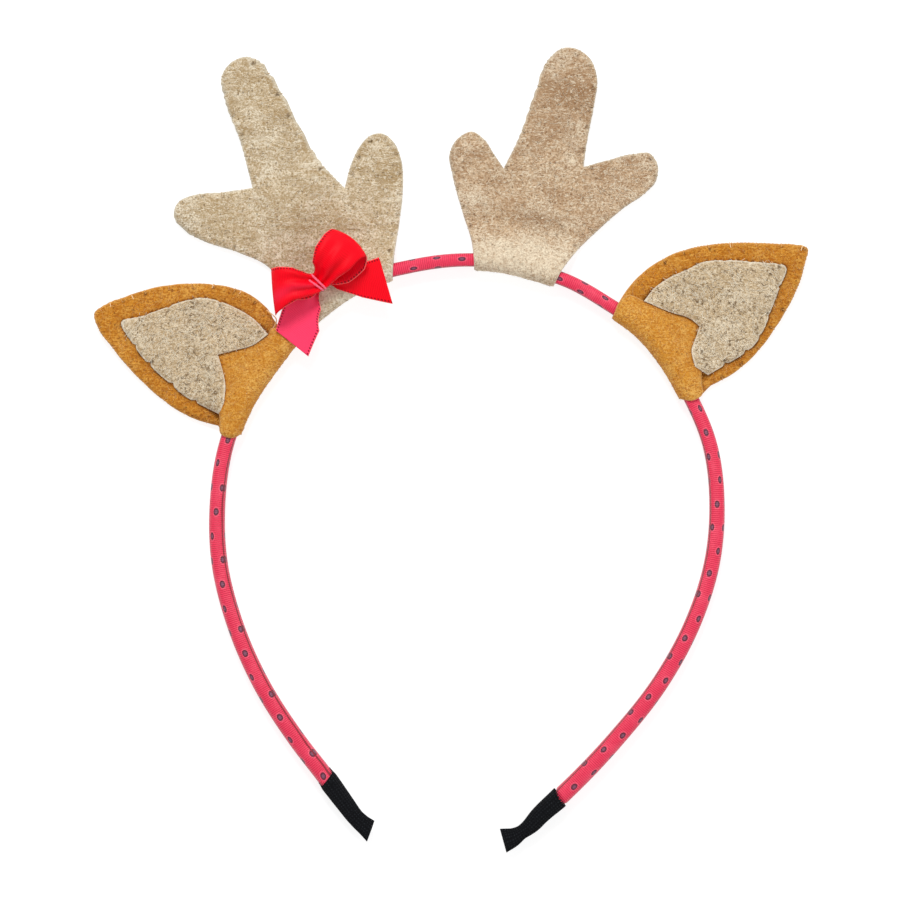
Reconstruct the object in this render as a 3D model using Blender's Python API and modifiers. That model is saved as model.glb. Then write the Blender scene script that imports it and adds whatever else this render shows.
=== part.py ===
"""A deer ears headband that lies on its back: a ribbon-covered hoop with felt antlers, felt ears and a satin bow.

+X is to the right as the front is seen, +Y runs from the cut ends to the antlers, +Z is up, towards the front.
"""

import math

import bmesh
import bpy
import numpy as np
from mathutils import Matrix

# Sizes in metres.
HOOP_HALF_WIDTH = 0.0625  # from the middle of the hoop to the band's middle line, where it is widest
HOOP_HEIGHT = 0.147  # of the band's middle line, from the crown down to the level of the longer leg's cut end
BAND_WIDTH = 0.0048  # as the front shows it, on the legs
BAND_DEPTH = 0.0055
CAP_LENGTH = 0.0180
CAP_WALL = 0.0008
FELT = 0.0010
RIBBON = 0.0010
RIBBON_WIDTH = 0.0120
GAP = 0.0003  # between neighbouring pieces
EAR_LENGTH = 0.0444  # from the band's middle line to the tip
EAR_WIDTH = 0.0327
ANTLER_LEFT_HEIGHT = 0.0635
ANTLER_LEFT_WIDTH = 0.0558
ANTLER_RIGHT_HEIGHT = 0.0560
ANTLER_RIGHT_WIDTH = 0.0442
ANTLER_SLOPE = 0.0110  # the run in which an antler's front layer comes down from the band to its back layer
FLAP_SLOPE = 0.0090
FLAP_UNDER = 0.0018  # how far the flap runs on under the inner leaf
TIP_LIFT = 0.0020  # how far the tips of ears and antlers stand off the surface
LOOPS = {1: (0.0122, 0.0013), -1: (0.0108, 0.0004)}  # length of the right and left loop, and bulge of its fold
LOOP_HEIGHT = 0.0065
TAIL_LENGTH = 0.0167
BOW_OUT = 0.0050  # from the band's middle line to the bow's knot
KNOT_THICKNESS = 0.0007
KNOT_WIDTH = 0.0022
GATHER = 0.0003  # height of the pleats at the knot

# Proportions.
ROOT = 0.13  # the share of a felt piece's length that lies flat beside the band
LIFT_FROM = 0.40  # the share of its length from where its tip lifts
CROWN_SHARE = 0.77  # the band's section at the crown against that on the legs
CORE_REACH = 0.45  # how far the band's bare end goes into its cap, as a share of the cap
HOLLOW_REACH = 0.52  # how far the cap is hollow
SQUARENESS = 2.4  # of the band's oval section, where 2 is an ellipse

# Fineness of the meshes.
SIDES = 12
BAND_STEPS = 60
LINE_STEP = 0.00025
GRID = 0.0042
OUTLINE_STEP = 0.0021
BEND_STEPS = 3  # on each quarter of a fold round the band
ACROSS_RIBBON = 6
RIBBON_STEP = 0.0019
KNOT_STEPS = 20

# The band's middle line from the left cut end to the right one, as shares of the hoop's half width and height.
HOOP = (
    # place, across, up
    ("left cut end", -0.386, -0.971),
    ("left cap, waist", -0.445, -0.948),
    ("left cap, middle", -0.490, -0.923),
    ("left cap, mouth", -0.568, -0.878),
    ("left leg, low", -0.680, -0.816),
    ("left leg", -0.832, -0.714),
    ("left leg, high", -0.934, -0.612),
    ("left side, low", -0.992, -0.510),
    ("left side, widest", -1.000, -0.425),
    ("left side, high", -0.958, -0.306),
    ("left ear, cheek end", -0.892, -0.238),
    ("left ear", -0.800, -0.179),
    ("left shoulder", -0.688, -0.119),
    ("bow", -0.552, -0.068),
    ("left antler", -0.412, -0.032),
    ("crown, left", -0.252, -0.013),
    ("crown", -0.032, 0.000),
    ("right antler", 0.128, -0.003),
    ("crown, right", 0.268, -0.017),
    ("right shoulder", 0.408, -0.037),
    ("right ear, crown end", 0.568, -0.076),
    ("right ear", 0.688, -0.111),
    ("right ear, middle", 0.800, -0.165),
    ("right ear, cheek end", 0.888, -0.230),
    ("right side, high", 0.964, -0.306),
    ("right side, widest", 0.998, -0.425),
    ("right side, low", 0.980, -0.510),
    ("right leg, high", 0.906, -0.612),
    ("right leg", 0.778, -0.714),
    ("right leg, low", 0.590, -0.816),
    ("right cap, mouth", 0.367, -0.914),
    ("right cap, middle", 0.292, -0.943),
    ("right cap, waist", 0.229, -0.972),
    ("right cap, flare", 0.192, -0.981),
    ("right cut end", 0.143, -0.987),
)

# Sections of the two caps from mouth to cut end. Reach is a share of the cap's length, widths and depths are shares
# of the band's, and a slant is how far the section turns in plan, in degrees.
CAP_SECTIONS = (
    # reach, left width, right width, depth, left slant
    (0.00, 1.04, 1.06, 0.98, 0),
    (0.35, 0.96, 0.95, 0.86, 0),
    (0.55, 0.90, 0.90, 0.68, 0),
    (0.72, 0.85, 0.86, 0.52, -4),
    (0.86, 0.90, 1.02, 0.38, -12),
    (1.00, 1.03, 1.25, 0.32, -22),
)

# Where each felt piece crosses the band, as a share of the middle line, and how far its own length leans from the
# band's outward direction there, in degrees, counter-clockwise.
FELT_PLACES = {
    # piece: (station, lean)
    "ear_left": (0.3276, 17.0),
    "ear_right": (0.6212, -8.0),
    "antler_left": (0.4064, -7.4),
    "antler_right": (0.5176, 1.6),
}
BOW_STATION = 0.392
BOW_TURN = -5.5  # degrees from the band's direction there

# The brown leaf, cut across at shares of its length. Each half width is a share of the ear's width.
LEAF_SECTIONS = (
    # reach, left cheek, left crown, right cheek, right crown
    (0.06, 0.47, 0.457, 0.49, 0.462),
    (0.14, 0.485, 0.518, 0.50, 0.508),
    (0.23, 0.495, 0.549, 0.512, 0.518),
    (0.34, 0.485, 0.547, 0.505, 0.510),
    (0.48, 0.435, 0.507, 0.462, 0.459),
    (0.62, 0.355, 0.437, 0.385, 0.373),
    (0.75, 0.262, 0.341, 0.295, 0.268),
    (0.86, 0.165, 0.229, 0.198, 0.165),
    (0.95, 0.078, 0.127, 0.086, 0.080),
)
LEAF_TIPS = {"left": (1.0, -0.03), "right": (1.005, 0.0)}

# The oatmeal leaf inside it, in the same way.
INNER_SECTIONS = (
    (0.15, 0.395, 0.380, 0.418, 0.360),
    (0.25, 0.380, 0.410, 0.423, 0.370),
    (0.36, 0.355, 0.420, 0.427, 0.350),
    (0.46, 0.303, 0.400, 0.413, 0.335),
    (0.56, 0.248, 0.320, 0.345, 0.270),
    (0.66, 0.178, 0.210, 0.240, 0.178),
    (0.75, 0.090, 0.115, 0.147, 0.085),
)
INNER_TIPS = {"left": (0.84, -0.03), "right": (0.845, 0.035)}

# What shows of the flap over the front of the band, from the cheek to the crown. Reach is a share of the ear's
# length, side a share of its width, towards the cheek. The first and last three rows are the ends of the felt that
# wrap the band. The rows in between are also the notch in the inner leaf, under which the flap runs on.
FLAP = (
    # place, left reach, left side, right reach, right side
    ("fold, cheek", -0.002, 0.478, -0.057, 0.450),
    ("cheek end, over the band", 0.038, 0.539, -0.005, 0.519),
    ("cheek end, outer side", 0.102, 0.538, 0.059, 0.522),
    ("cheek edge, low", 0.138, 0.430, 0.100, 0.430),
    ("cheek edge", 0.146, 0.300, 0.112, 0.310),
    ("waist", 0.172, 0.170, 0.146, 0.191),
    ("near the point", 0.225, 0.050, 0.204, 0.127),
    ("point", 0.267, -0.029, 0.256, 0.070),
    ("crown edge, far", 0.196, -0.093, 0.235, -0.015),
    ("crown edge", 0.099, -0.181, 0.159, -0.140),
    ("crown edge, near", 0.034, -0.300, 0.065, -0.320),
    ("crown end, outer side", 0.020, -0.405, 0.004, -0.422),
    ("crown end, over the band", -0.055, -0.425, -0.050, -0.417),
    ("fold, crown", -0.130, -0.375, -0.130, -0.346),
)
WRAP_ROWS = 3
POINT_ROW = 7

# The antlers' outlines from one end of the fold to the other. Reach is a share of the height, side a share of the
# width, to the left. A notch is a corner.
ANTLER_LEFT = (
    # place, reach, side
    ("fold, right", -0.035, -0.200),
    ("stem", 0.040, -0.245),
    ("stem", 0.150, -0.325),
    ("short tine", 0.280, -0.409),
    ("short tine", 0.380, -0.450),
    ("short tine", 0.450, -0.451),
    ("short tine, tip", 0.500, -0.422),
    ("short tine, tip", 0.514, -0.370),
    ("short tine", 0.492, -0.305),
    ("short tine", 0.440, -0.235),
    ("notch", 0.365, -0.166),
    ("long tine", 0.485, -0.117),
    ("long tine", 0.700, -0.089),
    ("long tine", 0.880, -0.070),
    ("long tine, tip", 0.958, -0.045),
    ("long tine, tip", 0.994, 0.005),
    ("long tine, tip", 0.995, 0.075),
    ("long tine, tip", 0.960, 0.138),
    ("long tine", 0.880, 0.164),
    ("long tine", 0.700, 0.178),
    ("notch", 0.512, 0.212),
    ("side tine", 0.545, 0.345),
    ("side tine", 0.580, 0.470),
    ("side tine, tip", 0.578, 0.545),
    ("side tine, tip", 0.535, 0.586),
    ("side tine, tip", 0.470, 0.570),
    ("side tine", 0.395, 0.505),
    ("side tine", 0.300, 0.385),
    ("side tine", 0.200, 0.290),
    ("stem", 0.080, 0.268),
    ("fold, left", -0.030, 0.267),
)
ANTLER_RIGHT = (
    # place, reach, side
    ("fold, right", -0.045, -0.230),
    ("stem", -0.005, -0.243),
    ("stem", 0.100, -0.300),
    ("side tine", 0.235, -0.410),
    ("side tine", 0.360, -0.530),
    ("side tine", 0.440, -0.625),
    ("side tine, tip", 0.505, -0.669),
    ("side tine, tip", 0.575, -0.657),
    ("side tine, tip", 0.615, -0.606),
    ("side tine", 0.600, -0.515),
    ("side tine", 0.548, -0.380),
    ("notch", 0.495, -0.250),
    ("long tine", 0.600, -0.240),
    ("long tine", 0.780, -0.234),
    ("long tine", 0.890, -0.220),
    ("long tine, tip", 0.965, -0.165),
    ("long tine, tip", 1.000, -0.080),
    ("long tine, tip", 0.990, 0.010),
    ("long tine, tip", 0.930, 0.072),
    ("long tine", 0.780, 0.106),
    ("long tine", 0.560, 0.143),
    ("notch", 0.412, 0.190),
    ("short tine", 0.470, 0.265),
    ("short tine", 0.525, 0.340),
    ("short tine, tip", 0.543, 0.410),
    ("short tine, tip", 0.510, 0.470),
    ("short tine, tip", 0.430, 0.507),
    ("short tine", 0.330, 0.462),
    ("stem", 0.180, 0.363),
    ("stem", 0.050, 0.272),
    ("fold, left", -0.045, 0.235),
)

# Soft ridges where the felt has been bent. Place and size are shares of the piece's height, height is a share of the
# felt's thickness, and turn is the ridge's direction from the piece's length, in degrees.
CREASES = (
    # piece, reach, side, turn, length, width, height
    ("antler_left", 0.74, 0.04, 78, 0.16, 0.05, 0.70),
    ("antler_left", 0.42, 0.00, 115, 0.26, 0.08, 0.90),
    ("antler_left", 0.44, 0.38, 20, 0.10, 0.06, 0.60),
    ("antler_right", 0.84, -0.06, 70, 0.14, 0.05, 0.70),
    ("antler_right", 0.24, 0.02, 95, 0.28, 0.07, 0.90),
    ("antler_right", 0.50, -0.36, 30, 0.12, 0.06, 0.60),
    ("ear_left", 0.62, 0.02, 20, 0.22, 0.10, 0.50),
    ("ear_right", 0.60, 0.04, 10, 0.22, 0.10, 0.50),
)

# One loop of the bow, from the top of the knot out to the fold and back below. Reach is a share of the loop's length,
# rise of its height, width of the ribbon's, and aim turns the section up from the bow's length, in degrees.
LOOP_SECTIONS = (
    # reach, rise, width, aim
    (0.00, 0.50, 0.24, 0),
    (0.16, 0.60, 0.25, 4),
    (0.28, 0.76, 0.56, 26),
    (0.55, 1.00, 0.84, 26),
    (0.85, 0.90, 0.92, 25),
    (1.00, 0.54, 0.94, 22),
    (0.86, 0.16, 0.90, 12),
    (0.50, 0.00, 0.72, 4),
    (0.28, 0.00, 0.46, 0),
    (0.16, 0.03, 0.25, 0),
    (0.00, 0.06, 0.24, 0),
)

# One tail from the knot to its cut end, in the same way, with aims down from the bow's length.
TAIL_SECTIONS = (
    # reach, right width, right aim, left width, left aim
    (0.00, 0.25, 0, 0.25, 0),
    (0.10, 0.26, 4, 0.26, 6),
    (0.25, 0.44, 27, 0.42, 34),
    (0.60, 0.78, 29, 0.70, 36),
    (1.00, 0.98, 29, 0.84, 36),
)
TAIL_SLANT = 15  # degrees between the tail's cut and a straight one


def unit(degrees):
    """The direction at this angle from +X."""
    turn = math.radians(degrees)
    return np.array([math.cos(turn), math.sin(turn)])


def angle_of(direction):
    return math.degrees(math.atan2(direction[1], direction[0]))


def smooth(knots, step):
    """Points about a step apart on a smooth curve through the knots."""
    knots = np.array(knots, float)
    chords = np.linalg.norm(np.diff(knots, axis=0), axis=1)[:, None]
    slopes = np.diff(knots, axis=0) / chords
    inner = (slopes[:-1] * chords[1:] + slopes[1:] * chords[:-1]) / (chords[1:] + chords[:-1])
    tangents = np.vstack([slopes[:1], inner, slopes[-1:]])
    points = [knots[0]]
    for i, chord in enumerate(chords[:, 0]):
        count = max(1, round(chord / step))
        for u in np.arange(1, count + 1) / count:
            start = (2 * u**3 - 3 * u**2 + 1) * knots[i] + (u**3 - 2 * u**2 + u) * chord * tangents[i]
            end = (3 * u**2 - 2 * u**3) * knots[i + 1] + (u**3 - u**2) * chord * tangents[i + 1]
            points.append(start + end)
    return np.array(points)


def with_corners(knots, corners, step):
    """As smooth, with a corner at each of the named knots."""
    ends = [0, *corners, len(knots) - 1]
    runs = [smooth(knots[a : b + 1], step) for a, b in zip(ends, ends[1:])]
    return np.vstack([runs[0], *[run[1:] for run in runs[1:]]])


class MiddleLine:
    """The band's middle line, read by the distance along it from the left cut end."""

    def __init__(self):
        knots = [(across * HOOP_HALF_WIDTH, up * HOOP_HEIGHT) for _, across, up in HOOP]
        self.points = smooth(knots, LINE_STEP)
        steps = np.diff(self.points, axis=0)
        lengths = np.linalg.norm(steps, axis=1)
        self.run = np.concatenate([[0], np.cumsum(lengths)])
        self.length = self.run[-1]
        self.tangents = np.gradient(self.points, self.run, axis=0)

    def tangent(self, along):
        along = min(max(along, 0), self.length)
        found = np.array([np.interp(along, self.run, self.tangents[:, i]) for i in range(2)])
        return found / np.linalg.norm(found)

    def place(self, along, out):
        """The point this far along the line and this far outwards from it."""
        inside = min(max(along, 0), self.length)
        point = np.array([np.interp(inside, self.run, self.points[:, i]) for i in range(2)])
        tangent = self.tangent(inside)
        return point + (along - inside) * tangent + out * np.array([-tangent[1], tangent[0]])

    def find(self, point):
        """(along, out) of a point."""
        starts = self.points[:-1]
        steps = np.diff(self.points, axis=0)
        share = ((point - starts) * steps).sum(axis=1) / (steps**2).sum(axis=1)
        nearest = starts + np.clip(share, 0, 1)[:, None] * steps
        best = np.linalg.norm(point - nearest, axis=1).argmin()
        along = np.interp(np.clip(share[best], 0, 1), [0, 1], self.run[best : best + 2])
        tangent = self.tangent(along)
        return along, float(np.dot(point - nearest[best], [-tangent[1], tangent[0]]))


LINE = MiddleLine()


def slimness(along):
    """The band's section here as a share of its section on the legs."""
    from_crown = abs(along / LINE.length - 0.5) / 0.5
    return CROWN_SHARE + (1 - CROWN_SHARE) * math.sin(from_crown * math.pi / 2) ** 2


class Place:
    """A felt piece's own directions: its length outwards from the band, and its width."""

    def __init__(self, name, length, width, side_sign):
        station, lean = FELT_PLACES[name]
        self.along = station * LINE.length
        self.origin = LINE.place(self.along, 0)
        tangent = LINE.tangent(self.along)
        self.out = unit(angle_of(tangent) + 90 + lean)
        self.side = side_sign * np.array([-self.out[1], self.out[0]])
        self.length = length
        self.width = width
        self.creases = [row[1:] for row in CREASES if row[0] == name]

    def point(self, reach, side):
        return self.origin + reach * self.length * self.out + side * self.width * self.side

    def rise(self, point):
        """How far the felt stands off the surface here, from its lifted tips and its creases."""
        reach = np.dot(point - self.origin, self.out) / self.length
        side = np.dot(point - self.origin, self.side) / self.length
        height = TIP_LIFT * max(0.0, (reach - LIFT_FROM) / (1 - LIFT_FROM)) ** 2
        for at, across, turn, length, width, share in self.creases:
            ahead, aside = unit(turn)
            on = (reach - at) * ahead + (side - across) * aside
            off = (side - across) * ahead - (reach - at) * aside
            height += share * FELT * math.exp(-((on / length) ** 2) - (off / width) ** 2)
        return height * min(1.0, max(0.0, (reach - ROOT) / ROOT))


class Fold:
    """Felt folded round the band: its path from the inner side of the band outwards, below and in front."""

    def __init__(self, along, landing, slope):
        share = slimness(along)
        cover = GAP + FELT / 2
        self.half_width = BAND_WIDTH / 2 * share + cover
        self.half_depth = BAND_DEPTH / 2 * share + cover
        self.quarter = math.pi / 4 * (self.half_width + self.half_depth)
        self.landing = landing
        self.slope = slope

    def path(self, out, front):
        """The distance from the fold along the felt, to a point this far out from the band's middle line."""
        if out < 0:
            distance = math.acos(min(1, -out / self.half_width)) / (math.pi / 2) * self.quarter
        else:
            distance = self.quarter + out
        return -distance if front else distance

    def section(self, distance):
        """(out, height) at this distance along the felt."""
        front = distance < 0
        distance = abs(distance)
        side = 1 if front else -1
        if distance < self.quarter:
            turn = distance / self.quarter * math.pi / 2
            return -self.half_width * math.cos(turn), side * self.half_depth * math.sin(turn)
        out = distance - self.quarter
        if not front:
            return out, -self.half_depth
        level = self.landing - self.half_depth
        rows = np.insert(np.arange(0, self.slope + GRID, GRID), 1, GRID / 2)
        shares = (1 + np.cos(math.pi * np.minimum(1, rows / self.slope))) / 2
        return out, level + (self.half_depth - level) * np.interp(out, rows, shares)

    def cuts(self):
        """Where the felt is cut across so that it bends."""
        bends = [i / BEND_STEPS * self.quarter for i in range(-BEND_STEPS, BEND_STEPS + 1)]
        return bends


class Layer:
    """A flat layer of felt at a height."""

    def __init__(self, height):
        self.height = height

    def path(self, out, _front):
        return out

    def section(self, distance):
        return distance, self.height

    def cuts(self):
        return []


class Lining(Layer):
    """The inner leaf's layer, which lies on the flap by the band and comes down to the front leaf beyond it."""

    def __init__(self, fold, flap_end):
        self.fold = fold
        self.flap_end = math.ceil(flap_end / GRID) * GRID

    def section(self, distance):
        _, flap = self.fold.section(-self.fold.quarter - distance)
        share = np.interp(distance, [self.flap_end, self.flap_end + GRID], [1, 0])
        return distance, flap + share * (FELT + 2 * GAP)

    def cuts(self):
        return [0.0]


def finish(name, colour, roughness):
    material = bpy.data.materials.new(name)
    material.use_nodes = True
    shader = material.node_tree.nodes["Principled BSDF"]
    shader.inputs["Base Color"].default_value = (*colour, 1)
    shader.inputs["Roughness"].default_value = roughness
    shader.inputs["Metallic"].default_value = 0
    material.diffuse_color = (*colour, 1)
    return material


def put_in_scene(name, bm, material, thickness=0):
    """A bmesh as an object, with a wall of this thickness on an open surface."""
    mesh = bpy.data.meshes.new(name)
    bmesh.ops.recalc_face_normals(bm, faces=bm.faces[:])
    bm.to_mesh(mesh)
    bm.free()
    mesh.materials.append(material)
    obj = bpy.data.objects.new(name, mesh)
    PARTS.objects.link(obj)
    if thickness:
        wall = obj.modifiers.new("Wall", "SOLIDIFY")
        wall.thickness = thickness
        wall.offset = 0
        wall.use_even_offset = True
    else:
        mesh.shade_smooth()
        mesh.set_sharp_from_angle(angle=math.radians(50))
    return obj


def loft(rings, closed=False):
    """A skin through rings of as many points each, with its two ends filled unless it closes on itself."""
    bm = bmesh.new()
    rows = [[bm.verts.new(point) for point in ring] for ring in rings]
    count = len(rows[0])
    pairs = list(zip(rows, rows[1:]))
    if closed:
        pairs.append((rows[-1], rows[0]))
    for near, far in pairs:
        for i in range(count):
            j = (i + 1) % count
            bm.faces.new([near[i], near[j], far[j], far[i]])
    if not closed:
        bm.faces.new(rows[0])
        bm.faces.new(rows[-1][::-1])
    return bm


def section_ring(along, half_width, half_depth, slant=0.0):
    """The oval section of the band or a cap."""
    ring = []
    for i in range(SIDES):
        turn = 2 * math.pi * (i + 0.5) / SIDES
        across, up = (math.copysign(abs(v) ** (2 / SQUARENESS), v) for v in (math.cos(turn), math.sin(turn)))
        out = half_width * across
        x, y = LINE.place(along + math.tan(math.radians(slant)) * out, out)
        ring.append((x, y, half_depth * up))
    return ring


def cap_half(side, reach):
    """(half width, half depth) of a cap's outside at a share of its length from the mouth."""
    column = 1 if side == "left" else 2
    reaches = [row[0] for row in CAP_SECTIONS]
    width = np.interp(reach, reaches, [row[column] for row in CAP_SECTIONS])
    depth = np.interp(reach, reaches, [row[3] for row in CAP_SECTIONS])
    return width * BAND_WIDTH / 2, depth * BAND_DEPTH / 2


def cap_station(side, reach):
    """The distance along the middle line of a share of the cap's length."""
    from_end = (1 - reach) * CAP_LENGTH
    return from_end if side == "left" else LINE.length - from_end


def cap_ring(side, reach, inset=0.0, shift=0.0):
    half_width, half_depth = cap_half(side, reach)
    slant = np.interp(reach, [row[0] for row in CAP_SECTIONS], [row[4] for row in CAP_SECTIONS])
    along = cap_station(side, reach) + (shift if side == "left" else -shift)
    return section_ring(along, half_width - inset, half_depth - inset, slant if side == "left" else 0)


def make_band():
    """The covered strip, with a bare end inside each cap."""
    core = [CORE_REACH, CORE_REACH / 2, 0.0]
    inset = CAP_WALL + GAP
    left = [cap_ring("left", reach, inset) for reach in core]
    right = [cap_ring("right", reach, inset) for reach in core[::-1]]
    left.append(cap_ring("left", 0, inset, 2 * GAP))
    right.insert(0, cap_ring("right", 0, inset, 2 * GAP))
    start = cap_station("left", 0) + 2 * GAP
    end = cap_station("right", 0) - 2 * GAP
    body = []
    for along in np.linspace(start, end, BAND_STEPS + 1):
        share = slimness(along)
        body.append(section_ring(along, BAND_WIDTH / 2 * share, BAND_DEPTH / 2 * share))
    return put_in_scene("band", loft(left + body + right), RIBBED_RIBBON)


def make_cap(side):
    """A sleeve, hollow from its mouth and pressed flat at its cut end."""
    hollow = [HOLLOW_REACH * share for share in (1, 0.5, 0)]
    inside = [cap_ring(side, reach, CAP_WALL) for reach in hollow]
    outside = [cap_ring(side, row[0]) for row in CAP_SECTIONS]
    return put_in_scene(f"cap_{side}", loft(inside + outside), BLACK_ELASTIC)


def felt(name, place, layer, outline, material, lowest=None):
    """A felt piece cut to an outline of (along the band, along the felt), laid round or beside the band."""
    bm = bmesh.new()
    bm.faces.new([bm.verts.new((along, distance, 0)) for along, distance in outline])
    low, high = outline.min(axis=0), outline.max(axis=0)
    across = np.arange(low[0], high[0], GRID)[1:]
    bends = layer.cuts()
    reach = max(bends, default=low[1])
    flat = np.arange(reach + GRID, high[1], GRID)
    flap = -np.arange(reach + GRID, -low[1], GRID)
    for value, direction in [(v, (1, 0, 0)) for v in across] + [(v, (0, 1, 0)) for v in [*bends, *flat, *flap]]:
        bmesh.ops.bisect_plane(
            bm,
            geom=bm.verts[:] + bm.edges[:] + bm.faces[:],
            dist=GRID / 12,
            plane_co=[value * axis for axis in direction],
            plane_no=direction,
        )
    if lowest is not None:
        bmesh.ops.bisect_plane(
            bm,
            geom=bm.verts[:] + bm.edges[:] + bm.faces[:],
            dist=GRID / 12,
            plane_co=(0, lowest, 0),
            plane_no=(0, 1, 0),
            clear_inner=True,
        )
    bmesh.ops.triangulate(bm, faces=bm.faces[:])
    for vert in bm.verts:
        out, height = layer.section(vert.co.y)
        point = LINE.place(vert.co.x, out)
        vert.co = (*point, height + place.rise(point))
    return put_in_scene(name, bm, material, FELT)


def on_felt(points, layer, front=False):
    """Points in plan as (along the band, along the felt)."""
    found = [LINE.find(point) for point in points]
    return np.array([(along, layer.path(out, front)) for along, out in found])


def leaf_points(place, sections, side, tip, root):
    """The knots of a leaf from its cheek side round the tip to its crown side."""
    cheek, crown = (1, 2) if side == "left" else (3, 4)
    rows = [row for row in sections if row[0] >= root]
    out = [place.point(row[0], row[cheek]) for row in rows]
    back = [place.point(row[0], -row[crown]) for row in rows[::-1]]
    return [*out, place.point(*tip), *back]


def make_ear(side):
    """One ear: the back leaf with its flap, the front leaf, and the oatmeal leaf."""
    name = f"ear_{side}"
    place = Place(name, EAR_LENGTH, EAR_WIDTH, 1 if side == "left" else -1)
    fold = Fold(place.along, 2 * (FELT + GAP), FLAP_SLOPE)
    columns = slice(1, 3) if side == "left" else slice(3, 5)
    edge = [place.point(*row[columns]) for row in FLAP]
    notch = edge[WRAP_ROWS + 1 : -WRAP_ROWS - 1]
    flap = [*edge[: WRAP_ROWS + 1], *[point + FLAP_UNDER * place.out for point in notch], *edge[-WRAP_ROWS - 1 :]]
    leaf = leaf_points(place, LEAF_SECTIONS, side, LEAF_TIPS[side], LEAF_SECTIONS[1][0])
    back_knots = [*edge[:WRAP_ROWS], *leaf, *edge[1 - WRAP_ROWS :]]
    back = on_felt(with_corners(back_knots, [], OUTLINE_STEP), fold)
    front = on_felt(with_corners(flap, [POINT_ROW], OUTLINE_STEP), fold, front=True)
    felt(f"{name}_back", place, fold, np.vstack([back, front[::-1]]), BROWN_FELT)

    layer = Layer(FELT + GAP - fold.half_depth)
    leaf = leaf_points(place, LEAF_SECTIONS, side, LEAF_TIPS[side], 0)
    leaf = [place.point(0, 0.3), *leaf, place.point(0, -0.3)]
    outline = on_felt(smooth(leaf, OUTLINE_STEP), layer)
    felt(f"{name}_front", place, layer, outline, BROWN_FELT, lowest=BAND_WIDTH / 2 + 2 * GAP)

    layer = Lining(fold, FLAP[POINT_ROW][columns.start] * EAR_LENGTH + FLAP_UNDER)
    lobe = [*leaf_points(place, INNER_SECTIONS, side, INNER_TIPS[side], 0), edge[-WRAP_ROWS - 1]]
    point = len(FLAP) - WRAP_ROWS - 1 - POINT_ROW
    notch_run = with_corners([lobe[-1], *notch[::-1]], [point], OUTLINE_STEP)
    outline = on_felt(np.vstack([smooth(lobe, OUTLINE_STEP), notch_run[1:]]), layer)
    felt(f"{name}_inner", place, layer, outline, OATMEAL_FELT, lowest=GRID)


def make_antler(side, rows, height, width):
    """One antler: a front and a back of the same outline, joined by the fold round the band."""
    name = f"antler_{side}"
    place = Place(name, height, width, 1)
    fold = Fold(place.along, FELT + GAP, ANTLER_SLOPE)
    notches = [i for i, row in enumerate(rows) if row[0] == "notch"]
    knots = [place.point(row[1], row[2]) for row in rows]
    points = with_corners(knots, notches, OUTLINE_STEP)
    back = on_felt(points, fold)
    front = on_felt(points, fold, front=True)
    felt(name, place, fold, np.vstack([back, front[::-1]]), OATMEAL_FELT)


class Bow:
    """The bow's own directions, and the heights at which its layers lie."""

    def __init__(self):
        along = BOW_STATION * LINE.length
        ridge = Fold(FELT_PLACES["ear_left"][0] * LINE.length, 0, 1).half_depth + FELT / 2
        self.origin = LINE.place(along, BOW_OUT)
        self.turn = angle_of(LINE.tangent(along)) + BOW_TURN
        self.resting = ridge + GAP + RIBBON / 2
        self.clear = RIBBON / 2 + GATHER + GAP
        self.tails = ridge + GAP + KNOT_THICKNESS + self.clear
        self.loops = self.tails + RIBBON + 2 * GAP

    def section(self, hand, reach, height, width, aim, slant=0.0, bulge=0.0):
        """A row of points across the ribbon, this far from the knot on the right (1) or the left (-1)."""
        along = unit(aim)
        across = np.array([-along[1], along[0]])
        row = []
        for share in np.linspace(-1, 1, ACROSS_RIBBON + 1):
            aside = share * width * RIBBON_WIDTH / 2
            ahead = reach + aside * math.tan(math.radians(slant)) + bulge * (1 - share**2)
            local = ahead * along + aside * across
            pleat = GATHER * (1 - width) * math.cos(share * math.pi * 1.5)
            plan = hand * local[0] * unit(self.turn) + local[1] * unit(self.turn + 90)
            row.append((*(self.origin + plan), height + pleat))
        return row


def strip(rows, closed=False):
    """An open sheet through rows of points."""
    bm = bmesh.new()
    grid = [[bm.verts.new(point) for point in row] for row in rows]
    pairs = list(zip(grid, grid[1:]))
    if closed:
        pairs.append((grid[-1], grid[0]))
    for near, far in pairs:
        for i in range(len(near) - 1):
            bm.faces.new([near[i], near[i + 1], far[i + 1], far[i]])
    return bm


def make_bow_loops(bow):
    """One strip that goes out to the right, folds back, and does the same to the left."""
    loops = {}
    for hand, (length, bulge) in LOOPS.items():
        table = np.array(LOOP_SECTIONS) * (length, LOOP_HEIGHT, 1, 1)
        path = smooth(table[:, :2], RIBBON_STEP)
        run = np.concatenate([[0], np.cumsum(np.linalg.norm(np.diff(path, axis=0), axis=1))])
        at_rows = [run[np.linalg.norm(path[1:-1] - row[:2], axis=1).argmin() + 1] for row in table[1:-1]]
        at_rows = [0, *at_rows, run[-1]]
        loops[hand] = []
        for (reach, rise), distance in zip(path, run):
            width, aim = (np.interp(distance, at_rows, table[:, i]) for i in (2, 3))
            swell = bulge * max(0.0, reach / length) ** 2
            loops[hand].append(bow.section(hand, reach, bow.loops + rise, width, aim, bulge=swell))
    skin = strip(loops[1] + loops[-1][-2:0:-1], closed=True)
    return put_in_scene("bow_loops", skin, RED_SATIN, RIBBON)


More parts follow.
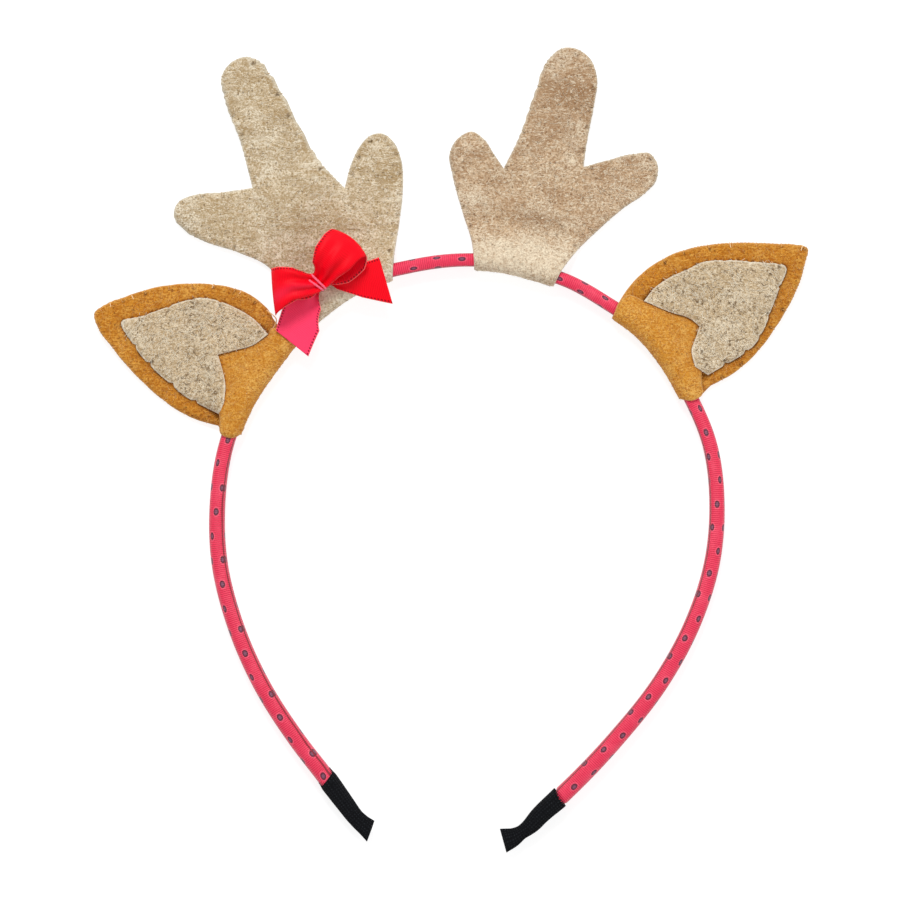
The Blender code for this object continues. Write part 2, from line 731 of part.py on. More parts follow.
def make_bow_tails(bow):
    """One strip from the left tail's cut end under the knot to the right tail's."""
    count = round(TAIL_LENGTH / RIBBON_STEP)
    table = np.array(TAIL_SECTIONS)
    tails = {}
    for hand, column in ((1, 1), (-1, 3)):
        tails[hand] = []
        for share in np.linspace(0, 1, count + 1):
            width, aim = (np.interp(share, table[:, 0], table[:, i]) for i in (column, column + 1))
            height = bow.resting + (bow.tails - bow.resting) * (1 + math.cos(math.pi * share)) / 2
            tails[hand].append(bow.section(hand, share * TAIL_LENGTH, height, width, -aim, -TAIL_SLANT * share))
    return put_in_scene("bow_tails", strip(tails[-1][:0:-1] + tails[1]), RED_SATIN, RIBBON)


def make_bow_knot(bow):
    """The thread wound round the middle, as one flat ring."""
    pinch = LOOP_SECTIONS[0][2] * RIBBON_WIDTH / 2
    bottom = bow.tails - bow.clear
    top = bow.loops + LOOP_SECTIONS[0][1] * LOOP_HEIGHT + bow.clear
    half_height = (top - bottom) / 2
    rings = []
    for i in range(KNOT_STEPS):
        turn = 2 * math.pi * i / KNOT_STEPS
        across, up = (math.copysign(abs(v) ** 0.4, v) for v in (math.cos(turn), math.sin(turn)))
        ring = []
        for inset, along in ((0, -0.5), (0.5, -0.6), (1, -0.5), (1, 0.5), (0.5, 0.6), (0, 0.5)):
            side = across * (pinch + 2 * GAP + inset * KNOT_THICKNESS)
            height = (top + bottom) / 2 + up * (half_height + inset * KNOT_THICKNESS)
            plan = along * KNOT_WIDTH * unit(bow.turn) + side * unit(bow.turn + 90)
            ring.append((*(bow.origin + plan), height))
        rings.append(ring)
    return put_in_scene("bow_knot", loft(rings, closed=True), PINK_THREAD)


def stand_on_origin():
    """Moves every piece so that the middle of the underside of their box is the origin."""
    graph = bpy.context.evaluated_depsgraph_get()
    corners = []
    for obj in PARTS.objects:
        shape = obj.evaluated_get(graph).to_mesh()
        corners += [vert.co[:] for vert in shape.vertices]
    low, high = np.min(corners, axis=0), np.max(corners, axis=0)
    middle = (low + high) / 2
    for obj in PARTS.objects:
        obj.data.transform(Matrix.Translation((-middle[0], -middle[1], -low[2])))


for old in list(bpy.data.objects):
    bpy.data.objects.remove(old)
PARTS = bpy.data.collections.new("deer_ears_headband")
bpy.context.scene.collection.children.link(PARTS)

RIBBED_RIBBON = finish("coral grosgrain ribbon", (0.80, 0.06, 0.12), 0.75)
BLACK_ELASTIC = finish("black ribbed elastic", (0.008, 0.008, 0.010), 0.85)
BROWN_FELT = finish("golden brown felt", (0.52, 0.22, 0.05), 0.95)
OATMEAL_FELT = finish("oatmeal wool felt", (0.56, 0.45, 0.33), 0.95)
RED_SATIN = finish("red satin ribbon", (0.85, 0.01, 0.04), 0.40)
PINK_THREAD = finish("pink thread", (0.85, 0.15, 0.28), 0.60)

make_band()
for hand in ("left", "right"):
    make_cap(hand)
    make_ear(hand)
make_antler("left", ANTLER_LEFT, ANTLER_LEFT_HEIGHT, ANTLER_LEFT_WIDTH)
make_antler("right", ANTLER_RIGHT, ANTLER_RIGHT_HEIGHT, ANTLER_RIGHT_WIDTH)
BOW = Bow()
make_bow_tails(BOW)
make_bow_loops(BOW)
make_bow_knot(BOW)
stand_on_origin()
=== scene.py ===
"""The looks of a deer ears headband: a ribboned hoop, felt antlers and ears, a satin bow, elastic ends.

+X is right as the front is seen, +Y runs from the cut ends to the antlers, +Z is up, towards the front.
"""

import math
import random

import bmesh
import bpy
import numpy as np
from mathutils import Matrix, Vector, noise


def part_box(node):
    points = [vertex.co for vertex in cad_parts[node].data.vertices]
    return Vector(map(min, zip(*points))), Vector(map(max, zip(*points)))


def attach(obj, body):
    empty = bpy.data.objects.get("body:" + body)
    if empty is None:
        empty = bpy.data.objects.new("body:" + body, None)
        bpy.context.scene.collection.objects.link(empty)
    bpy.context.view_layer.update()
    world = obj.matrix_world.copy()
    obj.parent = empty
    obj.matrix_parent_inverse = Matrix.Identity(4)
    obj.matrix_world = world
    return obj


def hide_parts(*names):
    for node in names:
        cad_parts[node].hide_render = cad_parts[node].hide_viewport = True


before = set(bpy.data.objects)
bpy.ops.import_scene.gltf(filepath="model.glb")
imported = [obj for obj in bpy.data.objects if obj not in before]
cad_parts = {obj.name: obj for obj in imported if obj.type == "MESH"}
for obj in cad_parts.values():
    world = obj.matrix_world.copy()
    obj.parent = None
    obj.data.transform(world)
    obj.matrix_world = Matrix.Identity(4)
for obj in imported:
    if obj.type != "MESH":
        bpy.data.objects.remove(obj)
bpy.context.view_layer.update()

# Sizes in metres. The first ones are the part's own.
HOOP_HALF_WIDTH = 0.0625
HOOP_HEIGHT = 0.147
BAND_WIDTH = 0.0048
BAND_DEPTH = 0.0055
CAP_LENGTH = 0.0180
RIBBON_WIDTH = 0.0120
EAR_LENGTH = 0.0444
EAR_WIDTH = 0.0327
ANTLER_LEFT_HEIGHT = 0.0635
ANTLER_LEFT_WIDTH = 0.0558
ANTLER_RIGHT_HEIGHT = 0.0560
ANTLER_RIGHT_WIDTH = 0.0442
ANTLER_SLOPE = 0.0110
FLAP_SLOPE = 0.0090
FLAP_UNDER = 0.0018
TIP_LIFT = 0.0020
LOOP_HEIGHT = 0.0065
TAIL_LENGTH = 0.0167
BOW_OUT = 0.0050
KNOT_WIDTH = 0.0022

# Sizes that only the looks have.
WALL = 0.0008  # of the felt
SNUG = 0.00005  # between layers that touch
BACK_SLOPE = 0.0060  # the run in which the back felt comes down from the band to the surface
LINING_SLOPE = 0.0032  # the run in which the inner leaf comes down from the flap
LUMPS = 0.0002  # how far the felt's soft lumps go up and down
LUMP_WAVES = ((0.00014, 0.0052), (0.00007, 0.0017))  # height and size of the large lumps and the small ones
EDGE_ROUND = 0.0007  # the run in which the felt thins towards its cut edge
EDGE_RUN = 0.0008  # the run in which it sinks there
EDGE_SINK = 0.00012
PIT_SINK = 0.0003  # how far a stitch pulls the felt in
PIT_WIDTH = 0.0008
SHADE_RUN = 0.0011  # how far the shade beside an upper layer fades
THREAD = 0.00009  # radius of the sewing thread
CLEAR_THREAD = 0.00013  # and where it shows clearly
KNOT_STRAND = 0.00026
RIBBON = 0.00025
UNDER_CAP = {"left": 0.0010, "right": 0.0025}  # how far the covering ribbon runs on under each cap
LAP_WAVE = 0.006  # length of the wavering of its free edge
ELASTIC = 0.0005
RIB = 0.0001  # of the ribs along a cap
TOOTH = 0.00035  # of the teeth at its mouth
SLIM_RUN = 0.0010  # the run in which the band gets slimmer at the right cap's mouth
LEAN_RUN = 0.002  # the run in which the ribbon's end in the left cap comes to lean
LOOPS = {1: (0.0122, 0.0013), -1: (0.0114, 0.0002)}  # length of the right and left loop, and its bulge
TAILS_UP = 0.0010  # from the felt under the bow to the middle of its tails
LOOPS_UP = 0.0007  # from the tails to the loops
LOOP_PLEAT = 0.00045
LOOP_RIDGE = 0.0011  # how far a loop's upper layer arches across its width
TAIL_PLEAT = 0.0004
TAIL_WAVE = 0.0002
KNOT_BESIDE = 0.0001  # how far the knot stands off the loops, beside them
KNOT_UNDER = 0.0004  # under the tails
KNOT_OVER = 0.0013  # and over the loops
LOOSE_THREAD = 0.00014
LOOSE_UP = 0.0005  # how far the loose end stands off the felt

# Proportions.
ROOT = 0.13
LIFT_FROM = 0.40
CROWN_SHARE = 0.77
SQUARENESS = 2.4
SQUARE_GIRTH = 1.04  # girth of the band's section against a plain oval's
EDGE_LEFT = 0.42  # the share of the felt's thickness that is left at its cut edge
ROOT_SIDE = 0.3  # of the ear's width, where the front leaf's pattern meets the band's middle line
MOUTH_TUCK = 0.12  # by which the left cap draws in at its mouth, and the share of its length where it does
BEND_SHARE = 0.15  # by which the right cap draws in at the outer side of its bend
NARROWED = {"across": 0.20, "up": 0.24}  # by which the band gets slimmer under the right cap
EDGE_STANDS = 0.6  # of the ribbon's thickness, by which its free edge stands up
EDGE_SHARE = 0.10  # of the turn round the hoop in which it does
RIBBON_STANDS = 0.3  # of the ribbon's thickness, from its inside to the middle of its wall
SETTLED = 0.82  # of the loops' height that is left after they have settled

# Angles in degrees.
RIBBON_TURN = 382  # once round the hoop and on under the free edge
LAP_WAVER = 4  # how far the free edge wavers
LEFT_MOUTH = -17  # the slant of the ribbon's end in the left cap
RIGHT_MOUTH = 10
MOUTH_TURN = {"left": -29, "right": 20}  # how much further each cap's mouth turns than its solid's
LOOP_SLANT = {1: 0, -1: -8}  # of the fold at the right and left loop's end
TAIL_SLANT = 15  # of the tails' cut ends
BOW_TURN = -5.5  # of the bow from the band's direction

# Fineness of the meshes.
LINE_STEP = 0.00025
GRID = 0.0008
OUTLINE_STEP = 0.0004
LOOP_STEP = 0.0004
BEND_ROWS = 17
BAND_GRID = (900, 48)
CAP_GRID = (60, 88)
RIBS = 22
TAIL_STEPS = 44
KNOT_STEPS = 40

# The band's middle line from the left cut end to the right one, as shares of the hoop's half width and
# height.
HOOP = (
    # across, up
    (-0.386, -0.971),
    (-0.445, -0.948),
    (-0.490, -0.923),
    (-0.568, -0.878),
    (-0.680, -0.816),
    (-0.832, -0.714),
    (-0.934, -0.612),
    (-0.992, -0.510),
    (-1.000, -0.425),
    (-0.958, -0.306),
    (-0.892, -0.238),
    (-0.800, -0.179),
    (-0.688, -0.119),
    (-0.552, -0.068),
    (-0.412, -0.032),
    (-0.252, -0.013),
    (-0.032, 0.000),
    (0.128, -0.003),
    (0.268, -0.017),
    (0.408, -0.037),
    (0.568, -0.076),
    (0.688, -0.111),
    (0.800, -0.165),
    (0.888, -0.230),
    (0.964, -0.306),
    (0.998, -0.425),
    (0.980, -0.510),
    (0.906, -0.612),
    (0.778, -0.714),
    (0.590, -0.816),
    (0.367, -0.914),
    (0.292, -0.943),
    (0.229, -0.972),
    (0.192, -0.981),
    (0.143, -0.987),
)

# Sections of the two caps from mouth to cut end. Reach is a share of the cap's length, widths and depths
# are shares of the band's, and a slant is how far the section turns in plan, in degrees.
CAP_SECTIONS = (
    # reach, left width, right width, depth, left slant, right slant
    (0.00, 1.04, 1.06, 0.98, 12, -10),
    (0.35, 0.96, 0.95, 0.86, 5, -4),
    (0.55, 0.90, 0.90, 0.68, 0, 0),
    (0.72, 0.85, 0.86, 0.52, -4, 0),
    (0.86, 0.90, 1.02, 0.38, -12, 0),
    (1.00, 1.03, 1.25, 0.32, -22, 0),
)

# Where each felt piece crosses the band, as a share of the middle line, and how far its own length leans
# from the band's outward direction there, in degrees, counter-clockwise.
FELT_PLACES = {
    # piece: (station, lean)
    "ear_left": (0.3276, 17.0),
    "ear_right": (0.6212, -8.0),
    "antler_left": (0.4064, -7.4),
    "antler_right": (0.5176, 1.6),
}
BOW_STATION = 0.3933

# The brown leaf, cut across at shares of its length. Each half width is a share of the ear's width.
LEAF_SECTIONS = (
    # reach, left cheek, left crown, right cheek, right crown
    (0.06, 0.47, 0.457, 0.49, 0.462),
    (0.14, 0.485, 0.518, 0.50, 0.508),
    (0.23, 0.495, 0.549, 0.512, 0.518),
    (0.34, 0.485, 0.547, 0.505, 0.510),
    (0.48, 0.435, 0.507, 0.462, 0.459),
    (0.62, 0.355, 0.437, 0.385, 0.373),
    (0.75, 0.262, 0.341, 0.295, 0.268),
    (0.86, 0.165, 0.229, 0.198, 0.165),
    (0.95, 0.078, 0.127, 0.086, 0.080),
)
LEAF_TIPS = {"left": (1.0, -0.03), "right": (1.005, 0.0)}

# The oatmeal leaf inside it, in the same way.
INNER_SECTIONS = (
    (0.15, 0.395, 0.380, 0.418, 0.360),
    (0.25, 0.380, 0.410, 0.423, 0.370),
    (0.36, 0.355, 0.420, 0.427, 0.350),
    (0.46, 0.303, 0.400, 0.413, 0.335),
    (0.56, 0.248, 0.320, 0.345, 0.270),
    (0.66, 0.178, 0.210, 0.240, 0.178),
    (0.75, 0.090, 0.115, 0.147, 0.085),
)
INNER_TIPS = {"left": (0.84, -0.03), "right": (0.845, 0.035)}

# What shows of the flap over the front of the band, from the cheek to the crown. The first and last three
# rows are the ends of the felt that wrap the band, and the rows in between are also the notch in the
# inner leaf.
FLAP = (
    # left reach, left side, right reach, right side
    (-0.002, 0.478, -0.057, 0.450),
    (0.038, 0.539, -0.005, 0.519),
    (0.102, 0.538, 0.059, 0.522),
    (0.138, 0.430, 0.100, 0.430),
    (0.146, 0.300, 0.112, 0.310),
    (0.172, 0.170, 0.146, 0.191),
    (0.225, 0.050, 0.204, 0.127),
    (0.267, -0.029, 0.256, 0.070),
    (0.196, -0.093, 0.235, -0.015),
    (0.099, -0.181, 0.159, -0.140),
    (0.034, -0.300, 0.065, -0.320),
    (0.030, -0.345, 0.004, -0.422),
    (-0.050, -0.360, -0.050, -0.417),
    (-0.130, -0.350, -0.130, -0.346),
)
WRAP_ROWS = 3
POINT_ROW = 7

# The antlers' outlines from one end of the fold to the other. Reach is a share of the height, side a
# share of the width, to the left. A notch is a corner.
ANTLER_LEFT = (
    # place, reach, side
    ("fold", -0.035, -0.200),
    ("stem", 0.040, -0.245),
    ("stem", 0.150, -0.325),
    ("tine", 0.280, -0.409),
    ("tine", 0.380, -0.450),
    ("tine", 0.450, -0.451),
    ("tip", 0.500, -0.422),
    ("tip", 0.514, -0.370),
    ("tine", 0.492, -0.305),
    ("tine", 0.440, -0.235),
    ("notch", 0.365, -0.166),
    ("tine", 0.485, -0.117),
    ("tine", 0.700, -0.089),
    ("tine", 0.880, -0.070),
    ("tip", 0.958, -0.045),
    ("tip", 0.994, 0.005),
    ("tip", 0.995, 0.075),
    ("tip", 0.960, 0.138),
    ("tine", 0.880, 0.164),
    ("tine", 0.700, 0.178),
    ("notch", 0.512, 0.212),
    ("tine", 0.545, 0.345),
    ("tine", 0.580, 0.470),
    ("tip", 0.578, 0.545),
    ("tip", 0.535, 0.586),
    ("tip", 0.470, 0.570),
    ("tine", 0.395, 0.505),
    ("tine", 0.300, 0.385),
    ("tine", 0.200, 0.290),
    ("stem", 0.080, 0.268),
    ("fold", -0.030, 0.267),
)
ANTLER_RIGHT = (
    ("fold", -0.045, -0.230),
    ("stem", -0.005, -0.243),
    ("stem", 0.100, -0.300),
    ("tine", 0.235, -0.410),
    ("tine", 0.360, -0.530),
    ("tine", 0.440, -0.625),
    ("tip", 0.505, -0.669),
    ("tip", 0.575, -0.657),
    ("tip", 0.615, -0.606),
    ("tine", 0.600, -0.515),
    ("tine", 0.548, -0.380),
    ("notch", 0.495, -0.250),
    ("tine", 0.600, -0.240),
    ("tine", 0.780, -0.234),
    ("tine", 0.890, -0.220),
    ("tip", 0.965, -0.165),
    ("tip", 1.000, -0.080),
    ("tip", 0.990, 0.010),
    ("tip", 0.930, 0.072),
    ("tine", 0.780, 0.106),
    ("tine", 0.560, 0.143),
    ("notch", 0.412, 0.190),
    ("tine", 0.470, 0.265),
    ("tine", 0.525, 0.340),
    ("tip", 0.543, 0.410),
    ("tip", 0.510, 0.470),
    ("tip", 0.430, 0.507),
    ("tine", 0.330, 0.462),
    ("stem", 0.180, 0.363),
    ("stem", 0.050, 0.272),
    ("fold", -0.045, 0.235),
)

# Soft ridges where the felt has been bent. Place and size are shares of the piece's height, height is a
# share of the felt's thickness, and turn is the ridge's direction from the piece's length, in degrees.
CREASES = (
    # piece, reach, side, turn, length, width, height
    ("antler_left", 0.74, 0.04, 78, 0.16, 0.05, 0.70),
    ("antler_left", 0.42, 0.00, 115, 0.26, 0.08, 0.90),
    ("antler_left", 0.44, 0.38, 20, 0.10, 0.06, 0.60),
    ("antler_right", 0.84, -0.06, 70, 0.14, 0.05, 0.70),
    ("antler_right", 0.24, 0.02, 95, 0.28, 0.07, 0.90),
    ("antler_right", 0.50, -0.36, 30, 0.12, 0.06, 0.60),
    ("ear_left", 0.62, 0.02, 20, 0.22, 0.10, 0.50),
    ("ear_right", 0.60, 0.04, 10, 0.22, 0.10, 0.50),
)

# Darker (above 0) and paler (below 0) stretches of the wool, in the same way. The paler stretches at the
# antlers' folds are painted light, where the felt arches over the band.
STAINS_AND_SHADING = (
    # piece, reach, side, turn, length, width, depth
    ("antler_left", 0.72, -0.05, 75, 0.10, 0.035, 0.90),
    ("antler_left", 0.585, -0.05, 75, 0.12, 0.035, 0.90),
    ("antler_left", 0.90, 0.03, 75, 0.12, 0.090, 0.35),
    ("antler_left", 0.35, -0.37, 80, 0.11, 0.060, 0.90),
    ("antler_left", 0.245, -0.07, 60, 0.12, 0.070, 0.60),
    ("antler_left", 0.45, 0.35, 60, 0.10, 0.080, 0.45),
    ("antler_left", 0.42, 0.10, 75, 0.20, 0.060, 0.40),
    ("antler_left", 0.65, 0.03, 75, 0.14, 0.040, -0.60),
    ("antler_left", 0.50, -0.10, 75, 0.12, 0.040, -0.60),
    ("antler_left", 0.24, -0.37, 75, 0.12, 0.060, -0.70),
    # painted light: the fold arches over the band and is lit more
    ("antler_left", 0.00, 0.00, 75, 0.40, 0.080, -0.90),
    ("antler_right", 0.83, -0.13, 115, 0.08, 0.020, 1.00),
    ("antler_right", 0.80, -0.02, 100, 0.12, 0.060, 0.60),
    ("antler_right", 0.64, -0.04, 100, 0.14, 0.100, 0.40),
    ("antler_right", 0.447, 0.285, 100, 0.09, 0.020, 0.80),
    ("antler_right", 0.50, -0.28, 10, 0.05, 0.025, 1.00),
    ("antler_right", 0.56, -0.39, 100, 0.05, 0.030, 0.70),
    ("antler_right", 0.22, -0.04, 100, 0.18, 0.030, 0.80),
    ("antler_right", 0.30, 0.10, 60, 0.20, 0.050, 0.50),
    # painted light over the fold, as above
    ("antler_right", 0.03, -0.02, 100, 0.45, 0.110, -1.00),
    ("antler_right", 0.27, 0.24, 60, 0.10, 0.060, -0.60),
    ("antler_right", 0.38, 0.02, 100, 0.08, 0.060, -0.40),
    ("antler_right", 0.86, -0.06, 0, 0.30, 0.300, 0.30),
    ("ear_right_front", 0.60, 0.00, 0, 0.90, 0.900, 0.30),
    ("ear_right_inner", 0.40, 0.12, 60, 0.14, 0.080, -0.60),
    ("ear_right_inner", 0.34, -0.10, 70, 0.14, 0.080, 0.50),
    ("ear_left_inner", 0.40, -0.16, 70, 0.14, 0.080, 0.45),
    ("ear_left_inner", 0.24, -0.20, 70, 0.10, 0.080, -0.50),
)

# The stitches that show clearly, by where they cross the edge, as shares of the ear's length and width.
# The nick that each pulls into the edge is a share of the deepest one.
CLEAR_STITCHES = (
    # piece, reach, side, nick
    ("ear_left_inner", 0.308, 0.356, 1.0),
    ("ear_left_inner", 0.461, 0.290, 1.0),
    ("ear_left_inner", 0.613, 0.190, 1.0),
    ("ear_left_inner", 0.719, 0.101, 0.8),
    ("ear_left_inner", 0.730, -0.144, 0.3),
    ("ear_left_inner", 0.605, -0.241, 0.5),
    ("ear_left_inner", 0.499, -0.339, 0.3),
    ("ear_left_inner", 0.348, -0.376, 0.3),
    ("ear_right_inner", 0.567, -0.228, 0.3),
    ("ear_right_inner", 0.677, -0.107, 0.3),
    ("ear_right_inner", 0.800, 0.016, 0.3),
    ("ear_right_inner", 0.730, 0.082, 0.5),
    ("ear_right_inner", 0.596, 0.229, 0.4),
    ("ear_right_inner", 0.496, 0.316, 0.4),
    ("ear_right_inner", 0.404, 0.428, 0.9),
    ("ear_right_inner", 0.267, 0.424, 0.9),
    ("ear_left_rim", 0.934, -0.139, 0.0),
    ("ear_left_rim", 0.829, -0.244, 0.0),
    ("ear_left_rim", 0.419, -0.521, 0.0),
    ("ear_left_rim", 0.259, -0.546, 0.0),
    ("ear_right_rim", 0.640, -0.330, 0.0),
    ("ear_right_rim", 0.980, -0.020, 0.0),
)

# How far the printed dots have slipped along and round the hoop, in millimetres.
DOT_SLIP = (
    # station, along, across
    (0.000, 0.0, 0.0),
    (0.250, 0.0, 0.0),
    (0.465, 0.2, -2.7),
    (0.570, 1.4, -1.7),
    (0.730, 1.9, -1.6),
    (0.820, 0.4, -1.9),
    (0.920, -1.5, -2.3),
    (1.000, -2.0, -2.4),
)

# Where the covering ribbon's free edge runs on the front, in degrees from the hoop's outer side.
LAP = (
    # station, turn
    (0.03, 112),
    (0.08, 122),
    (0.16, 127),
    (0.24, 120),
    (0.30, 140),
    (0.60, 146),
    (0.72, 138),
    (0.80, 130),
    (0.88, 140),
    (0.95, 132),
)

# One loop of the bow, from the top of the knot out to the fold and back below. Reach is a share of the
# loop's length, rise of its height, width of the ribbon's, and aim turns the section up from the bow's
# length, in degrees.
LOOP_SECTIONS = (
    # reach, rise, right width, right aim, left width, left aim
    (0.00, 0.50, 0.38, 4, 0.38, 0),
    (0.16, 0.62, 0.46, 20, 0.44, 10),
    (0.28, 0.78, 0.62, 28, 0.50, 18),
    (0.55, 1.00, 0.85, 27, 0.66, 24),
    (0.85, 0.90, 0.90, 25, 0.88, 20),
    (1.00, 0.54, 0.92, 21, 0.96, 17),
    (0.86, 0.16, 0.90, 12, 0.86, 20),
    (0.50, 0.00, 0.72, 4, 0.60, 22),
    (0.28, 0.00, 0.46, 0, 0.48, 8),
    (0.16, 0.03, 0.30, 0, 0.36, 0),
    (0.00, 0.06, 0.30, 0, 0.34, 0),
)

# One tail from the knot to its cut end, in the same way, with aims down from the bow's length.
TAIL_SECTIONS = (
    # reach, right width, right aim, left width, left aim
    (0.00, 0.25, 0, 0.25, 0),
    (0.10, 0.26, 4, 0.44, 4),
    (0.25, 0.34, 27, 0.88, 15),
    (0.60, 0.68, 29, 0.90, 34),
    (1.00, 0.98, 29, 0.84, 36),
)

# The stray end of thread beside the bow, on the left ear, as shares of its length and width.
LOOSE_END = (
    # reach, side
    (0.087, -0.471),
    (0.053, -0.455),
    (0.024, -0.436),
    (0.014, -0.408),
    (0.019, -0.366),
    (0.017, -0.334),
)

# The hand stitching. A spacing of 0 is for stitches that are placed one by one.
STITCHING = {
    # seam: (spacing, first, last, inset, nick, nick's width)
    "inner": (0, 0, 0, 0.0009, 0.00065, 0.0005),
    "rim": (0.0060, 0.0030, 0, 0.0010, 0.00008, 0.0009),
    "clear": (0, 0, 0, 0.0011, 0, 0),
    "antler": (0.0054, 0.0060, 0.0060, 0.0010, 0.00005, 0.0009),
}

# The loose fibres on each piece.
FIBRES = {
    # piece: (count, length, radius, seed)
    "back": (600, 0.0017, 0.000025, 61),
    "front": (400, 0.0017, 0.000025, 62),
    "inner": (600, 0.0026, 0.000035, 63),
    "antler": (1200, 0.0017, 0.000025, 64),
}

# The printed rings, in millimetres along and round the hoop.
MM = 1000
DOT_START = 0.25
DOT_ROW = 6.05
DOT_SIDE = 0.2
DOT_STEP = 1.3
DOT_LANE = 3.9
DOT_LONG = 0.95
DOT_WIDE = 0.72

# The stage.
FLOOR_GREY = 0.30
FLOOR_GLOW = 0.79
WORLD_LIGHT = 0.60
LAMPS = (
    # name, place, size, power
    ("key", (-0.15, 0.95, 1.2), 0.5, 14.0),
    ("fill", (0.9, -0.3, 1.2), 1.2, 4.0),
)
LENS = 180
SENSOR = 36
VIEW_WIDTH = 0.225  # of the level that the photograph spans
VIEW_LEVEL = 0.003
VIEW_MIDDLE = (-0.0003, -0.0001)


def unit(degrees):
    """The direction at this angle from +X."""
    turn = math.radians(degrees)
    return np.array([math.cos(turn), math.sin(turn)])


def angle_of(direction):
    return math.degrees(math.atan2(direction[1], direction[0]))


def ease(value):
    """A smooth step from 0 to 1."""
    value = np.clip(value, 0, 1)
    return value * value * (3 - 2 * value)


def hump(value, middle, width):
    """1 at the middle, and down to nothing on both sides of it."""
    return np.exp(-(((value - middle) / width) ** 2))


def blob(reach, side, at, across, turn, length, width):
    """How much of a crease, a stain or a painted pale patch there is at a place, from 0 to 1."""
    ahead, aside = unit(turn)
    on = (reach - at) * ahead + (side - across) * aside
    off = (side - across) * ahead - (reach - at) * aside
    return np.exp(-((on / length) ** 2) - (off / width) ** 2)


def read_table(table, at, column):
    """What a column of a table says where its first column is at."""
    return np.interp(at, [row[0] for row in table], [row[column] for row in table])


def smooth(knots, step):
    """Points about a step apart on a smooth curve through the knots."""
    knots = np.array(knots, float)
    chords = np.linalg.norm(np.diff(knots, axis=0), axis=1)[:, None]
    slopes = np.diff(knots, axis=0) / chords
    inner = (slopes[:-1] * chords[1:] + slopes[1:] * chords[:-1]) / (chords[1:] + chords[:-1])
    tangents = np.vstack([slopes[:1], inner, slopes[-1:]])
    points = [knots[0]]
    for i, chord in enumerate(chords[:, 0]):
        count = max(1, round(chord / step))
        for u in np.arange(1, count + 1) / count:
            start = (2 * u**3 - 3 * u**2 + 1) * knots[i] + (u**3 - 2 * u**2 + u) * chord * tangents[i]
            end = (3 * u**2 - 2 * u**3) * knots[i + 1] + (u**3 - u**2) * chord * tangents[i + 1]
            points.append(start + end)
    return np.array(points)


def with_corners(knots, corners, step):
    """As smooth, with a corner at each of the named knots."""
    ends = [0, *corners, len(knots) - 1]
    runs = [smooth(knots[a : b + 1], step) for a, b in zip(ends, ends[1:])]
    return np.vstack([runs[0], *[run[1:] for run in runs[1:]]])


def run_along(points):
    """How far along a line each of its points is."""
    return np.concatenate([[0], np.cumsum(np.linalg.norm(np.diff(points, axis=0), axis=1))])


def read_along(at, run, rows):
    """The rows' two columns, read by the distance along a line."""
    return np.stack([np.interp(at, run, rows[:, i]) for i in range(2)], axis=-1)


def distance_to(points, line):
    """How far each point is from a line of points."""
    starts, steps = line[:-1], np.diff(line, axis=0)
    nearest = np.full(len(points), np.inf)
    for start, step in zip(starts, steps):
        share = np.clip((points - start) @ step / max(step @ step, 1e-18), 0, 1)
        nearest = np.minimum(nearest, np.linalg.norm(points - start - share[:, None] * step, axis=1))
    return nearest


class MiddleLine:
    """The band's middle line, read by the distance along it from the left cut end."""

    def __init__(self):
        knots = [(across * HOOP_HALF_WIDTH, up * HOOP_HEIGHT) for across, up in HOOP]
        self.points = smooth(knots, LINE_STEP)
        self.run = run_along(self.points)
        self.length = self.run[-1]
        self.tangents = np.gradient(self.points, self.run, axis=0)

    def tangent(self, along):
        found = read_along(np.clip(along, 0, self.length), self.run, self.tangents)
        return found / np.linalg.norm(found, axis=-1, keepdims=True)

    def place(self, along, out):
        """The point this far along the line and this far outwards from it."""
        along = np.asarray(along, float)
        inside = np.clip(along, 0, self.length)
        tangent = self.tangent(inside)
        normal = np.stack([-tangent[..., 1], tangent[..., 0]], axis=-1)
        ahead = (along - inside)[..., None] * tangent
        return read_along(inside, self.run, self.points) + ahead + np.asarray(out, float)[..., None] * normal

    def find(self, point):
        """(along, out) of a point."""
        starts = self.points[:-1]
        steps = np.diff(self.points, axis=0)
        share = ((point - starts) * steps).sum(axis=1) / (steps**2).sum(axis=1)
        nearest = starts + np.clip(share, 0, 1)[:, None] * steps
        best = np.linalg.norm(point - nearest, axis=1).argmin()
        along = np.interp(np.clip(share[best], 0, 1), [0, 1], self.run[best : best + 2])
        tangent = self.tangent(along)
        return along, float(np.dot(point - nearest[best], [-tangent[1], tangent[0]]))


LINE = MiddleLine()
BAND_LOW, BAND_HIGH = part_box("band")
SHIFT = Vector((
    (BAND_LOW.x + BAND_HIGH.x - LINE.points[:, 0].min() - LINE.points[:, 0].max()) / 2,
    BAND_HIGH.y - BAND_WIDTH / 2 * CROWN_SHARE,
    (BAND_LOW.z + BAND_HIGH.z) / 2,
))
FLOOR = -SHIFT.z
BACK = FLOOR + WALL / 2 + LUMPS  # the height of the felt that lies on the surface
PITCH = WALL + SNUG


def slimness(along):
    """The band's section here as a share of its section on the legs."""
    from_crown = np.abs(np.asarray(along) / LINE.length - 0.5) / 0.5
    return CROWN_SHARE + (1 - CROWN_SHARE) * np.sin(from_crown * math.pi / 2) ** 2


def oval(turn):
    """(across, up) on the band's rounded section, each from -1 to 1."""
    return [np.copysign(np.abs(v) ** (2 / SQUARENESS), v) for v in (np.cos(turn), np.sin(turn))]


